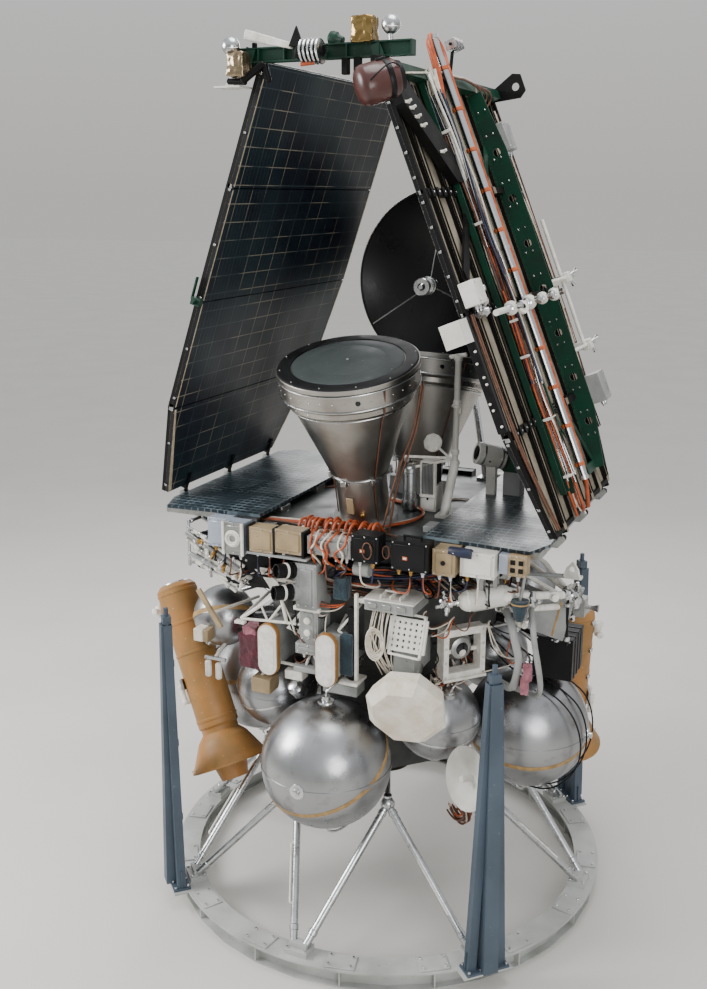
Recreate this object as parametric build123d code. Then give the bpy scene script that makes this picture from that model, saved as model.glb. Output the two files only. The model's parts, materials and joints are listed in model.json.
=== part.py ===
# Interplanetary probe spacecraft with stowed solar wings, standing on its round assembly stand.
# Millimetres, +Z up, origin on the floor at the centre of the stand's ring.
# +X is the side of the wing with the long tube, -Y is the side of the small front equipment.
from build123d import *
from math import atan2, cos, degrees, radians, sin
import os

os.makedirs("parts", exist_ok=True)

MID = Align.CENTER
LOW = Align.MIN

# Stand
RING_OUTER_R = 1950
RING_INNER_R = 1740
RING_TOP_Z = 180
RING_PLATE = 16
RING_SIDES = 32
WEB_R = 1860
RING_HOLE_D = 18
RING_HOLE_AT_R = 1812
STRUT_FOOT_R = 1820
STRUT_NODE_R = 1080
STRUT_NODE_Z = 1150
STRUT_D = 62
STRUT_NODE_D = 120
STRUT_FOOT_SPREAD = 52
EIGHTH = 45
POST_AZIMUTHS = (45, 135, 225, 315)
POST_AT_R = 1985
POST_TOP_Z = 2600
POST_PIN_D = 40
POST_PIN_LENGTH = 70

# Propulsion block
CORE_APOTHEM = 560
CORE_LOW_Z = 1200
CORE_TOP_Z = 2280
LARGE_TANK_R = 525
LARGE_TANK_AT_R = 1300
LARGE_TANK_Z = 1600
SMALL_TANK_R = 350
SMALL_TANK_AT_R = 1040
SMALL_TANK_Z = 1890
NOZZLE_EXIT_Z = 960
NOZZLE_EXIT_R = 210

# Instrument ring (a prism of sixteen flats) and deck
BUS_SIDES = 16
BUS_APOTHEM = 1000
BUS_LOW_Z = 2480
BUS_TOP_Z = 3380
BUS_BAND = 14
DECK_THICK = 50
DECK_TOP_Z = BUS_TOP_Z + DECK_THICK
DECK_HALF_X = 1120
DECK_HALF_Y = 1180
DECK_CHAMFER = 260
SERVICE_TANK_R = 265
SERVICE_TANK_AT_R = 1450
SERVICE_TANK_Z = 2490
SERVICE_TANK_AZIMUTHS = (48, 132, 214)

# Wings and fixed panels
HINGE_X = 1670
HINGE_Z = 3500
HINGE_YS = (-640, 110, 860)
PIN_D = 24
WING_LEANS = {"left": 19, "right": 22}
WING_THICK = 30
WING_GAP = 8
WING_FRAME = 32
WING_FRAME_TOP = WING_THICK + WING_FRAME
SIDE_PANEL_Z = 3490
SIDE_PANEL_THICK = 24
SIDE_PANEL_IN_X = 700
SIDE_PANEL_OUT_X = 1632
EDGE_BEAM_X = 1600
SIDE_BEAM_YS = (-1000, 110, 1060)

# Lander capsules
CAPSULE_LEAN = 15
CAPSULE_X = 40
CAPSULE_Y = 600
CAPSULE_BASE_Z = DECK_TOP_Z + 20

# Big dish
DISH_R = 880
DISH_AT = (-80, 1560, 5200)
DISH_DEPTH = 230
DISH_WALL = 14
DISH_HUB = 70


def tube(start, end, diameter, bore=0):
    # A round bar, or a pipe where a bore is given, from one point to another
    start, end = Vector(*start), Vector(*end)
    place = Plane(origin=start, z_dir=end - start).location
    length = (end - start).length
    shape = Cylinder(diameter / 2, length, align=(MID, MID, LOW))
    if bore:
        shape -= Cylinder(bore / 2, length, align=(MID, MID, LOW))
    return place * shape


def block(low, high):
    # A box between two opposite corners
    size = [b - a for a, b in zip(low, high)]
    return Pos(*low) * Box(*size, align=(LOW, LOW, LOW))


def around(azimuth, radius, height, shape):
    # Puts a shape whose own X axis points outwards at a place around the middle
    return Rot(0, 0, azimuth) * Pos(radius, 0, height) * shape


def aimed(at, towards, shape):
    # Puts a shape whose own Z axis looks along a direction at a place
    return Plane(origin=at, z_dir=towards).location * shape


def polar(radius, azimuth, height):
    return (radius * cos(radians(azimuth)), radius * sin(radians(azimuth)), height)


def fuse(shapes):
    shapes = list(shapes)
    whole = shapes[0]
    for shape in shapes[1:]:
        whole = whole + shape
    return whole


def turned(points):
    # A closed outline of (radius, height) points turned around Z
    outline = Polyline(*[(r, 0, z) for r, z in points], close=True)
    return revolve(make_face(outline), axis=Axis.Z)


def plate(points, thick):
    # A flat plate of an (x, y) outline, from z = 0 up
    return extrude(make_face(Polyline(*points, close=True)), thick)


def upright_plate(points, y, thick):
    # A flat plate of an (x, z) outline that stands across Y, from y to y + thick
    return Pos(0, y + thick, 0) * (Plane.XZ.location * plate(points, thick))


def mirrored(shape):
    return mirror(shape, about=Plane.YZ)


def seated(shape, hulls):
    # What is left of a shape outside the hulls that it is fastened to
    for hull in hulls:
        shape = shape - hull
    return max(shape.solids(), key=lambda solid: solid.volume)


def keep(name, shapes):
    solids = []
    for shape in shapes:
        solids.extend(shape.solids())
    export_step(Compound(children=solids), f"parts/{name}.step")


# The stand's ring: top plate, polygon web, floor flange and gussets, in one weldment
def stand_ring():
    plate_low = RING_TOP_Z - RING_PLATE
    top = Pos(0, 0, plate_low) * (
        Cylinder(RING_OUTER_R, RING_PLATE, align=(MID, MID, LOW))
        - Cylinder(RING_INNER_R, RING_PLATE, align=(MID, MID, LOW))
    )
    web = extrude(RegularPolygon(WEB_R, RING_SIDES) - RegularPolygon(WEB_R - 14, RING_SIDES), RING_TOP_Z - 1)
    floor = extrude(RegularPolygon(WEB_R + 60, RING_SIDES) - RegularPolygon(WEB_R - 70, RING_SIDES), 14)
    gusset = Box(150, 12, plate_low - 6, align=(MID, MID, LOW))
    gussets = [around((k + 0.5) * EIGHTH / 2, WEB_R - 18, 3, gusset) for k in range(16)]
    bolt_hole = Cylinder(RING_HOLE_D / 2, 40)
    for k in range(8):
        floor -= around(k * EIGHTH, RING_HOLE_AT_R, 0, bolt_hole)
    ear = Box(160, 420, RING_PLATE, align=(MID, MID, LOW))
    ears = [around(a, RING_OUTER_R + 30, plate_low, ear) for a in POST_AZIMUTHS]
    return fuse([top, web, floor] + gussets + ears)


def strut_shoe():
    return Box(150, 190, 44, align=(MID, MID, LOW)) + Pos(0, 0, 44) * Box(70, 150, 46, align=(MID, MID, LOW))


def strut_node(azimuth):
    return Pos(*polar(STRUT_NODE_R, azimuth, STRUT_NODE_Z)) * Sphere(STRUT_NODE_D / 2)


# Eight V pairs of tubes from shoes on the ring to eight ball nodes under the tanks
def stand_struts():
    shapes = []
    turn = degrees(STRUT_FOOT_SPREAD / STRUT_FOOT_R)
    shoe = around(0, STRUT_FOOT_R, RING_TOP_Z, strut_shoe())
    for side in (-1, 1):
        node_azimuth = side * EIGHTH / 2
        foot = polar(STRUT_FOOT_R, side * turn, RING_TOP_Z + 62)
        head = polar(STRUT_NODE_R, node_azimuth, STRUT_NODE_Z)
        strut = seated(tube(foot, head, STRUT_D), [shoe, strut_node(node_azimuth)])
        shapes.extend(Rot(0, 0, k * EIGHTH) * strut for k in range(8))
    return shapes


# An A-shaped post with a third leg behind it and a pin on top, on a foot plate outside the ring
def stand_post(azimuth):
    height = POST_TOP_Z - RING_TOP_Z
    foot = Box(150, 360, 20, align=(MID, MID, LOW))
    head = Pos(0, 0, height) * Box(70, 80, 60, align=(MID, MID, LOW))
    legs = [tube((0, side * 130, 10), (0, side * 12, height + 20), 62) for side in (-1, 1)]
    back = tube((55, 0, 10), (8, 0, height + 20), 44)
    ties = [Pos(0, 0, z) * Box(30, 2 * half, 40) for z, half in ((620, 105), (1300, 65))]
    pin = Pos(0, 0, height + 60) * Cylinder(POST_PIN_D / 2, POST_PIN_LENGTH, align=(MID, MID, LOW))
    return around(azimuth, POST_AT_R, RING_TOP_Z, fuse([foot, head, back, pin] + legs + ties))


def prism(apothem, low_z, top_z, sides):
    # An upright prism with a flat towards +X
    half_turn = 180 / sides
    outline = RegularPolygon(apothem / cos(radians(half_turn)), sides, rotation=half_turn)
    return Pos(0, 0, low_z) * extrude(outline, top_z - low_z)


def propulsion_core():
    body = prism(CORE_APOTHEM, CORE_LOW_Z, CORE_TOP_Z, 8)
    flange = prism(CORE_APOTHEM + 34, CORE_TOP_Z - 40, CORE_TOP_Z, 8)
    return body + flange


# Ball nodes of the stand, each on a pipe to the lower edge of the core
def cradle_nodes(core):
    azimuth = EIGHTH / 2
    outer = polar(STRUT_NODE_R, azimuth, STRUT_NODE_Z)
    inner = polar(CORE_APOTHEM, azimuth, CORE_LOW_Z + 60)
    node = seated(tube(outer, inner, 54) + strut_node(azimuth), [core])
    return [Rot(0, 0, k * EIGHTH) * node for k in range(8)]


# A spherical tank with its weld band, a boss towards the core and an outlet below
def tank(radius, at_r, z, azimuth, boss_d):
    weld = Cylinder(radius + 4, 26)
    boss = Rot(0, 90, 0) * Cylinder(boss_d / 2, at_r - CORE_APOTHEM, align=(MID, MID, LOW))
    outlet = Pos(0, 0, -radius - 34) * Cylinder(46, 80, align=(MID, MID, LOW))
    return around(azimuth, at_r, z, fuse([Sphere(radius), weld, Pos(CORE_APOTHEM - at_r, 0, 0) * boss, outlet]))


def engine():
    bell = turned([
        (70, CORE_LOW_Z), (70, 1120), (58, 1090), (96, 1050), (160, 1000), (NOZZLE_EXIT_R, NOZZLE_EXIT_Z),
        (NOZZLE_EXIT_R - 10, NOZZLE_EXIT_Z), (150, 1000), (86, 1050), (46, 1090), (0, 1100), (0, CORE_LOW_Z),
    ])
    return bell + Pos(0, 0, CORE_LOW_Z - 30) * Cylinder(170, 30, align=(MID, MID, LOW))


def bus_shell():
    body = prism(BUS_APOTHEM, BUS_LOW_Z, BUS_TOP_Z, BUS_SIDES)
    skirt = Pos(0, 0, CORE_TOP_Z) * Cone(
        CORE_APOTHEM + 20, BUS_APOTHEM - 40, BUS_LOW_Z - CORE_TOP_Z, align=(MID, MID, LOW)
    )
    bands = [prism(BUS_APOTHEM + BUS_BAND, z, z + 30, BUS_SIDES) for z in (BUS_LOW_Z, 2900, BUS_TOP_Z - 30)]
    return fuse([body, skirt] + bands)


def service_tank(azimuth, hull):
    boss = tube((-SERVICE_TANK_AT_R + 900, 0, 0), (0, 0, 0), 120)
    strap = Rot(35, 0, 0) * Cylinder(SERVICE_TANK_R + 5, 46)
    shape = around(azimuth, SERVICE_TANK_AT_R, SERVICE_TANK_Z, fuse([Sphere(SERVICE_TANK_R), boss, strap]))
    return seated(shape, [hull])


def deck():
    x, y, c = DECK_HALF_X, DECK_HALF_Y, DECK_CHAMFER
    outline = [(c - x, -y), (x - c, -y), (x, c - y), (x, y - c), (x - c, y), (c - x, y), (-x, y - c), (-x, c - y)]
    return Pos(0, 0, BUS_TOP_Z) * plate(outline, DECK_THICK)


# Beams under the fixed panel on the +X side of the deck
def cross_beams():
    low, top = DECK_TOP_Z, SIDE_PANEL_Z
    return [block((SIDE_PANEL_IN_X + 40, y - 25, low), (EDGE_BEAM_X - 50, y + 25, top)) for y in SIDE_BEAM_YS]


# The edge beam that carries the wing's hinge cheeks and pins
def edge_beam():
    out_x, low, top = EDGE_BEAM_X, DECK_TOP_Z, SIDE_PANEL_Z
    shapes = [block((out_x - 50, SIDE_BEAM_YS[0] - 25, low), (out_x, SIDE_BEAM_YS[-1] + 25, top))]
    cheek_outline = [
        (out_x, low), (out_x + 45, low), (HINGE_X + 24, HINGE_Z - 12), (HINGE_X + 24, HINGE_Z + 12),
        (HINGE_X + 12, HINGE_Z + 24), (HINGE_X - 14, HINGE_Z + 24), (out_x + 40, HINGE_Z),
        (out_x + 40, top - 2), (out_x, top - 2),
    ]
    for y in HINGE_YS:
        shapes.extend(upright_plate(cheek_outline, y + cheek, 12) for cheek in (-37, 25))
        pin = Pos(HINGE_X, y - 43, HINGE_Z) * Rot(-90, 0, 0) * Cylinder(PIN_D / 2, 86, align=(MID, MID, LOW))
        shapes.append(pin)
    return fuse(shapes)


def side_braces(hull, beam):
    braces = []
    for side in (-1, 1):
        start = (EDGE_BEAM_X - 25, side * 860, DECK_TOP_Z + 20)
        braces.append(seated(tube(start, (800, side * 540, 2960), 40), [hull, beam]))
    return braces


def side_panel():
    x0, x1 = SIDE_PANEL_IN_X, SIDE_PANEL_OUT_X
    outline = [(x0, -1040), (x1 - 90, -1100), (x1, -860), (x1, 1060), (x1 - 160, 1180), (x0, 1180)]
    return Pos(0, 0, SIDE_PANEL_Z) * plate(outline, SIDE_PANEL_THICK)


# Wing shapes are drawn flat: x runs up the wing from the hinge, y is the craft's Y, z is outwards
WING_ROWS = (
    # from, to, front y at from, front y at to, back y at from, back y at to
    (70, 900, -930, -1185, 940, 1320),
    (900, 1800, -1185, -1185, 1320, 1430),
    (1800, 2690, -1185, -1170, 1430, 1420),
    (2690, 3600, -1170, -1150, 1420, 1400),
)
WING_TOP = WING_ROWS[-1][1]
STRINGER_YS = (-980, -665, -350, -35, 280, 600, 900, 1190)
STRINGER_WIDTH = 80
GIRDERS = (
    # y, depth
    (-350, 110),
    (600, 170),
)
GIRDER_FROM, GIRDER_TO = 260, 3500
GIRDER_HOLE_D = 64
GIRDER_CAP = 80
TIE_ROWS = (900, 1800, 2690)
TIE_TOP = WING_FRAME_TOP + 56


def wing_place(side, shape):
    lean = radians(WING_LEANS[side])
    flat = Plane(origin=(-HINGE_X, 0, HINGE_Z), x_dir=(sin(lean), 0, cos(lean)), z_dir=(-cos(lean), 0, sin(lean)))
    shape = flat.location * shape
    return mirrored(shape) if side == "right" else shape


def wing_panels():
    half_gap = WING_GAP / 2
    shapes = []
    for start, end, front0, front1, back0, back1 in WING_ROWS:
        outline = [(start + half_gap, front0), (end - half_gap, front1), (end - half_gap, back1),
                   (start + half_gap, back0)]
        shapes.append(plate(outline, WING_THICK))
    return shapes


def wing_frame():
    edge, bar = 36, 30
    shapes = []
    for start, end, front0, front1, back0, back1 in WING_ROWS:
        bars = [
            [(start, front0), (end, front1), (end, front1 + edge), (start, front0 + edge)],
            [(start, back0 - edge), (end, back1 - edge), (end, back1), (start, back0)],
            [(start, front0), (start + bar, front0), (start + bar, back0), (start, back0)],
            [(end - bar, front1), (end, front1), (end, back1), (end - bar, back1)],
        ]
        shapes.extend(Pos(0, 0, WING_THICK) * plate(outline, WING_FRAME) for outline in bars)
    start = WING_ROWS[0][0] + bar / 2
    half = STRINGER_WIDTH / 2
    for y in STRINGER_YS:
        shapes.append(block((start, y - half, WING_THICK), (WING_TOP, y + half, WING_FRAME_TOP)))
    tie_from, tie_to = GIRDERS[0][0] + GIRDER_CAP / 2, GIRDERS[1][0] - GIRDER_CAP / 2
    shapes.extend(block((s - 26, tie_from, WING_FRAME_TOP), (s + 26, tie_to, TIE_TOP)) for s in TIE_ROWS)
    trimmed = fuse(shapes)
    start, end, front0, front1, back0, back1 = WING_ROWS[0]
    for near, far in ((back0, back1), (front0, front1)):
        away = 3 * far
        corner = [(0, near), (start, near), (end, far), (end, away), (0, away)]
        trimmed -= Pos(0, 0, WING_THICK) * plate(corner, WING_FRAME)
    return trimmed


# Two deep plate girders with rows of lightening holes
def wing_girders():
    z0 = WING_FRAME_TOP
    groups = []
    for y, depth in GIRDERS:
        outline = [
            (GIRDER_FROM, z0), (GIRDER_TO, z0), (GIRDER_TO, z0 + depth * 0.7), (GIRDER_TO - 500, z0 + depth),
            (GIRDER_FROM + 500, z0 + depth), (GIRDER_FROM, z0 + depth * 0.5),
        ]
        web = upright_plate(outline, y - 6, 12)
        for k in range(7):
            hole = Pos(GIRDER_FROM + 400 + k * 390, y, z0 + depth / 2) * Rot(90, 0, 0)
            web -= hole * Cylinder(GIRDER_HOLE_D / 2 * depth / 190 + 4, 40)
        cap = block((GIRDER_FROM, y - GIRDER_CAP / 2, z0), (GIRDER_TO, y + GIRDER_CAP / 2, z0 + 10))
        groups.append(web + cap)
    return groups


def wing_knuckles():
    shapes = []
    for y in HINGE_YS:
        eye = Pos(0, y, 0) * Rot(90, 0, 0) * Cylinder(21, 38)
        arm = block((0, y - 19, -14), (190, y + 19, 0))
        foot = block((40, y - 19, -14), (WING_ROWS[0][0], y + 19, WING_FRAME_TOP))
        bore = Pos(0, y, 0) * Rot(90, 0, 0) * Cylinder(PIN_D / 2 + 0.5, 60)
        shapes.append(fuse([eye, arm, foot]) - bore)
    return shapes


# Head of each wing: a beam across its outer face, and half of the tie between the two wings
HEAD_BEAM_LOW, HEAD_BEAM_TOP = WING_TOP - 85, WING_TOP - 5
HEAD_BEAM_OUT = WING_FRAME_TOP + 74
HEAD_BEAM_YS = (-1160, 1330)
TIE_BEAM_Z = 6945
TIE_BEAM_Y = -1215
TIE_HALVES = {
    # far end, end at the joint in the middle
    "left": (-720, -105),
    "right": (-75, 640),
}
LUG_TOPS = {"left": WING_TOP + 60, "right": WING_TOP + 110}


def wing_head(side):
    low, top = HEAD_BEAM_LOW, HEAD_BEAM_TOP
    front, back = HEAD_BEAM_YS
    beam = block((low, front, WING_FRAME_TOP), (top, back, HEAD_BEAM_OUT))
    end_plate = upright_plate([
        (low, WING_FRAME_TOP), (top, WING_FRAME_TOP), (top + 70, 300), (top + 40, 360), (low - 20, 360),
        (low - 60, 300),
    ], back, 14)
    end_plate -= Pos(low + 40, back, 290) * Rot(90, 0, 0) * Cylinder(36, 60)
    lug = block((low, TIE_BEAM_Y - 35, WING_FRAME_TOP), (LUG_TOPS[side], front, HEAD_BEAM_OUT))
    return fuse([beam, end_plate, lug])


def tie_beam_half(side):
    # An open channel with a web, two flanges and ribs, in place
    x0, x1 = TIE_HALVES[side]
    y, z = TIE_BEAM_Y, TIE_BEAM_Z
    web = block((x0, y - 6, z - 50), (x1, y + 6, z + 50))
    flanges = [block((x0, y - 40, z + dz), (x1, y + 40, z + dz + 10)) for dz in (-50, 40)]
    step = (x1 - x0 - 10) / 3
    ribs = [block((x0 + k * step, y - 40, z - 50), (x0 + k * step + 10, y + 40, z + 50)) for k in range(4)]
    return fuse([web] + flanges + ribs)


def capsule_place(side, shape):
    # side -1 is the front one, +1 the rear one; each leans away from the middle
    return Pos(CAPSULE_X, side * CAPSULE_Y, CAPSULE_BASE_Z) * Rot(-side * CAPSULE_LEAN, 0, 0) * shape


CAPSULE_LOW = 60
CAPSULE_NECKS = {
    # side, height of the neck's top: the rear one sits lower
    -1: 430,
    1: 200,
}
CAPSULE_FLARE = 910
CAPSULE_COVER_R = 440


def capsule_body(neck):
    top = neck + CAPSULE_FLARE
    return turned([
        (0, CAPSULE_LOW), (205, CAPSULE_LOW), (205, neck), (228, neck + 6), (228, neck + 25), (470, top - 230),
        (508, top - 210), (512, top - 170), (536, top - 150), (540, top), (0, top),
    ])


def capsule_lid(neck):
    # A raised rim ring around a shallow domed cover
    r, z = CAPSULE_COVER_R, neck + CAPSULE_FLARE
    return turned([
        (0, z), (548, z), (548, z + 32), (530, z + 46), (r, z + 46), (r, z + 36), (r - 8, z + 36),
        (r - 16, z + 44), (300, z + 54), (0, z + 60),
    ])


def capsule_seat(side):
    ring = Pos(0, 0, -90) * Cylinder(262, 90 + CAPSULE_LOW, align=(MID, MID, LOW))
    below = Pos(0, 0, DECK_TOP_Z) * Box(3000, 3000, 600, align=(MID, MID, Align.MAX))
    return capsule_place(side, ring) - below


def dish_reflector():
    # A shallow bowl between two spheres, with a hub behind it
    inner_r = (DISH_R ** 2 + DISH_DEPTH ** 2) / (2 * DISH_DEPTH)
    middle = Pos(0, 0, inner_r - DISH_DEPTH)
    back = DISH_DEPTH + DISH_WALL
    shell = middle * Sphere(inner_r + DISH_WALL)
    shell = shell & (Pos(0, 0, -back) * Cylinder(DISH_R, back, align=(MID, MID, LOW)))
    hub = Pos(0, 0, -back - DISH_HUB) * Cylinder(150, DISH_HUB + DISH_WALL, align=(MID, MID, LOW))
    bowl = shell + hub - middle * Sphere(inner_r)
    return Pos(*DISH_AT) * Rot(90, 0, 0) * bowl


def dish_feed():
    shapes = [
        Pos(0, 0, 380) * Cylinder(48, 60, align=(MID, MID, LOW)),
        Pos(0, 0, 480) * Sphere(80),
        Pos(0, 0, 540) * Cone(52, 74, 90, align=(MID, MID, LOW)),
    ]
    for azimuth in (90, 210, 330):
        shapes.append(tube(polar(DISH_R - 30, azimuth, 6), polar(36, azimuth, 410), 12))
    return Pos(*DISH_AT) * Rot(90, 0, 0) * fuse(shapes)


def dish_mast(reflector):
    # Three legs that rise behind the bowl's rim, with a knee in each, to a pad on the hub
    x, y, z = DISH_AT
    pad_y = y + DISH_DEPTH + DISH_WALL + DISH_HUB
    low, foot_y, knee_y, knee_z = DECK_TOP_Z, DECK_HALF_Y - 60, 1660, 4180
    shapes = [block((x - 170, pad_y, z - 170), (x + 170, pad_y + 40, z + 170))]
    for foot_x, knee_x, head_x, diameter in ((-520, -260, x - 90, 64), (520, 200, x + 90, 64), (0, x, x, 50)):
        foot, knee = (foot_x, foot_y, low + 12), (knee_x, knee_y, knee_z)
        shapes.append(block((foot_x - 70, foot_y - 70, low), (foot_x + 70, foot_y + 60, low + 24)))
        shapes.append(tube(foot, knee, diameter))
        shapes.append(Pos(*knee) * Sphere(diameter / 2))
        shapes.append(tube(knee, (head_x, pad_y + 20, z - 110), diameter))
    shapes.append(tube((-260, knee_y, knee_z), (200, knee_y, knee_z), 40))
    below = Pos(0, 0, low) * Box(4000, 4000, 200, align=(MID, MID, Align.MAX))
    return seated(fuse(shapes) - below, [reflector])


# Surface probes hung nose down at the sides: a long tube above a flared skirt
PROBES = (
    # top of the tube, lower end of the skirt
    ((-1850, -570, 2575), (-1110, -935, 1150)),
    ((1520, 640, 2450), (1430, 860, 1060)),
)
PROBE_TUBE_R = 180
PROBE_SKIRT_R = 345
PROBE_SKIRT_LENGTH = 300


def probe(top, end):
    length = (Vector(*end) - Vector(*top)).length
    neck = length - PROBE_SKIRT_LENGTH
    r, flare = PROBE_TUBE_R, PROBE_SKIRT_R
    outline = [
        (0, -20), (r * 0.8, -20), (r, 20), (r, neck - 60), (r - 16, neck - 40), (r - 16, neck),
        (r + 40, neck + 60), (flare - 30, length - 60), (flare, length - 14), (flare, length), (0, length),
    ]
    nose = Pos(0, 0, length) * Cone(150, 120, 130, align=(MID, MID, LOW))
    return aimed(top, Vector(*end) - Vector(*top), turned(outline) + nose)


PROBE_ARMS = (
    # share of the way down the probe, height on the ring, degrees to the side
    (0.12, 2760, 9),
    (0.12, 2760, -9),
    (0.45, 2530, -2),
    (0.45, 2530, -16),
)


def probe_arms(top, end, hulls):
    top, end = Vector(*top), Vector(*end)
    shapes = []
    for share, root_z, turn in PROBE_ARMS:
        at = top + (end - top) * share
        azimuth = degrees(atan2(at.Y, at.X)) + turn
        shapes.append(seated(tube(polar(BUS_APOTHEM - 60, azimuth, root_z), tuple(at), 38), hulls))
    return shapes


# Equipment boxes in rows around the edge of the deck and under its side beams
EDGE_BOXES = (
    # node, x from, x to, y from, y to, z from, z to
    ("wrapped_boxes", -1100, -920, -1185, -1026, 3250, 3484),
    ("wrapped_boxes", -900, -715, -1290, -1150, 3240, 3500),
    ("tan_boxes", -660, -450, -1290, -1150, 3290, 3485),
    ("tan_boxes", -435, -200, -1290, -1150, 3310, 3495),
    ("white_boxes", -160, 200, -1270, -1150, 3330, 3470),
    ("black_boxes", 225, 440, -1300, -1150, 3330, 3540),
    ("black_boxes", 545, 830, -1290, -1150, 3310, 3530),
    ("tan_boxes", 850, 1020, -1230, -1060, 3290, 3484),
    ("white_boxes", 1055, 1310, -1200, -1025, 3300, 3484),
    ("tan_boxes", 1400, 1530, -1140, -1025, 3330, 3484),
    ("white_boxes", 600, 800, 1150, 1290, 3260, 3480),
    ("black_boxes", 60, 360, 1190, 1300, 3250, 3470),
    ("white_boxes", -340, -60, 1190, 1290, 3240, 3480),
    ("tan_boxes", -800, -600, 1150, 1280, 3260, 3480),
)
SIDE_BOXES = (
    # node, azimuth, half width, z from, z to, depth
    ("white_boxes", 0, 180, 2945, 3340, 130),
    ("tan_boxes", 22.5, 150, 2960, 3300, 110),
    ("white_boxes", 180, 180, 2945, 3340, 130),
    ("tan_boxes", 157.5, 150, 2960, 3300, 110),
    ("white_boxes", 90, 150, 2520, 2880, 120),
    ("black_boxes", 112.5, 130, 2540, 2860, 140),
    ("tan_boxes", 67.5, 130, 2540, 2860, 140),
    ("white_boxes", 135, 140, 2950, 3300, 120),
    ("white_boxes", 45, 140, 2950, 3300, 120),
)


def equipment_boxes(hulls):
    groups = {}
    for node, x0, x1, y0, y1, z0, z1 in EDGE_BOXES:
        groups.setdefault(node, []).append(seated(block((x0, y0, z0), (x1, y1, z1)), hulls))
    for node, azimuth, half, z0, z1, depth in SIDE_BOXES:
        box = Box(depth, 2 * half, z1 - z0, align=(LOW, MID, LOW))
        groups.setdefault(node, []).append(around(azimuth, BUS_APOTHEM, z0, box))
    return groups


# Star sensors: two black tubes on a stepped column of grey boxes
COLUMN_X = (-270, -90)
COLUMN_FRONT_Y = -1270
STAR_TUBES = (
    # where the tube's back end sits, and where it looks
    ((-275, -1225, 3160), (-0.55, -0.8, 0.12)),
    ((-275, -1260, 2990), (-0.6, -0.75, 0.1)),
)


def sensor_column(hull):
    x0, x1 = COLUMN_X
    stack = [
        block((x0, COLUMN_FRONT_Y, 2860), (x1, -980, 3235)),
        block((x0 + 15, COLUMN_FRONT_Y + 40, 2560), (x1 - 10, -980, 2860)),
        block((x0 - 20, COLUMN_FRONT_Y + 20, 2470), (x1 + 20, -980, 2560)),
    ]
    return seated(fuse(stack), [hull])


def star_sensor(at, towards, column):
    barrel = fuse([
        Pos(0, 0, -60) * Cylinder(42, 90, align=(MID, MID, LOW)),
        Cylinder(58, 190, align=(MID, MID, LOW)),
        Pos(0, 0, 40) * Cylinder(66, 26, align=(MID, MID, LOW)),
    ])
    barrel -= Pos(0, 0, 165) * Cylinder(48, 25, align=(MID, MID, LOW))
    return seated(aimed(at, towards, barrel), [column])


# White triangle brackets beside the sensor column, each a plate with its middle cut out
TRIANGLES = (
    # tip x, right edge x, bottom z, y
    (-400, -262, 2600, -1190),
    (-540, -276, 2880, -1120),
)


def triangle_brackets():
    shapes = []
    for tip, edge, z, y in TRIANGLES:
        width = edge - tip
        outer = [(tip, z + 40), (edge, z), (edge, z + 220)]
        inner = [(tip + width * 0.3, z + 56), (edge - 24, z + 34), (edge - 24, z + 150)]
        shapes.append(upright_plate(outer, y, 16) - upright_plate(inner, y - 1, 18))
    return shapes


# Two stadium-shaped covers on grey backing boxes
OVALS = (
    # x, z, y of the cover's back, half width of the backing box
    (-555, 2440, -1195, 70),
    (10, 2480, -1290, 80),
)
OVAL_WIDTH, OVAL_HEIGHT, OVAL_THICK = 165, 430, 44


def oval_covers():
    face = SlotOverall(OVAL_HEIGHT, OVAL_WIDTH, rotation=90)
    shapes = []
    for x, z, y, half in OVALS:
        shapes.append(Pos(x, y, z) * (Plane.XZ.location * extrude(face, OVAL_THICK)))
    return shapes


def oval_backs(hull):
    shapes = []
    for x, z, y, half in OVALS:
        box = block((x - half, y, z - 150), (x + half, -700, z + 190))
        shapes.append(seated(box, [hull]))
    return shapes


# A white plate with a grid of holes, on a grey box, over the grey tray
PLATE_AT = (650, -1210, 2760)
PLATE_SIZE = (260, 320, 22)
PLATE_HOLES = (5, 6)
GREY_BOX = ((540, -1180, 2400), (690, -800, 2620))


def hole_plate():
    width, height, thick = PLATE_SIZE
    sheet = Box(width, height, thick)
    columns, rows = PLATE_HOLES
    hole = extrude(RegularPolygon(12, 8), thick, both=True)
    for i in range(columns):
        for k in range(rows):
            sheet -= Pos((i - (columns - 1) / 2) * 46, (k - (rows - 1) / 2) * 48, 0) * hole
    stem = block((625, -1200, GREY_BOX[1][2]), (675, -1150, 2760))
    return aimed(PLATE_AT, (-0.1, -0.93, 0.33), sheet) + stem


def grey_boxes(hull):
    tray = block((300, -1230, 2925), (700, -900, 3010))
    return [seated(block(*GREY_BOX), [hull]), seated(tray, [hull])]


# An eight-sided covered dish, looking down and forward
BLANKET_AT = (680, -1230, 2240)
BLANKET_LOOKS = (0.12, -0.9, -0.3)


def blanket_dish():
    def ring(r):
        return RegularPolygon(r, 8, rotation=22.5)
    hull = loft([ring(300), Pos(0, 0, 130) * ring(325), Pos(0, 0, 215) * ring(250)], ruled=True)
    return aimed(BLANKET_AT, BLANKET_LOOKS, hull)


def blanket_bracket(hulls):
    return seated(tube((660, -1000, 2440), (670, -1150, 2300), 90), hulls)


# A square open frame instrument with a round sight inside it
FRAME_AZIMUTH = -42
FRAME_AT_R = 1310
FRAME_Z = 2560


def square_frame():
    outer = Box(110, 370, 400)
    inner = Box(112, 280, 300)
    legs = [Pos(-200, side * 110, 40) * Box(300, 24, 40) for side in (-1, 1)]
    bar = Pos(-20, 0, 0) * Box(24, 282, 30)
    sight = Pos(-30, 0, 0) * Sphere(60)
    return around(FRAME_AZIMUTH, FRAME_AT_R, FRAME_Z, fuse([outer - inner, bar, sight] + legs))


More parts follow.
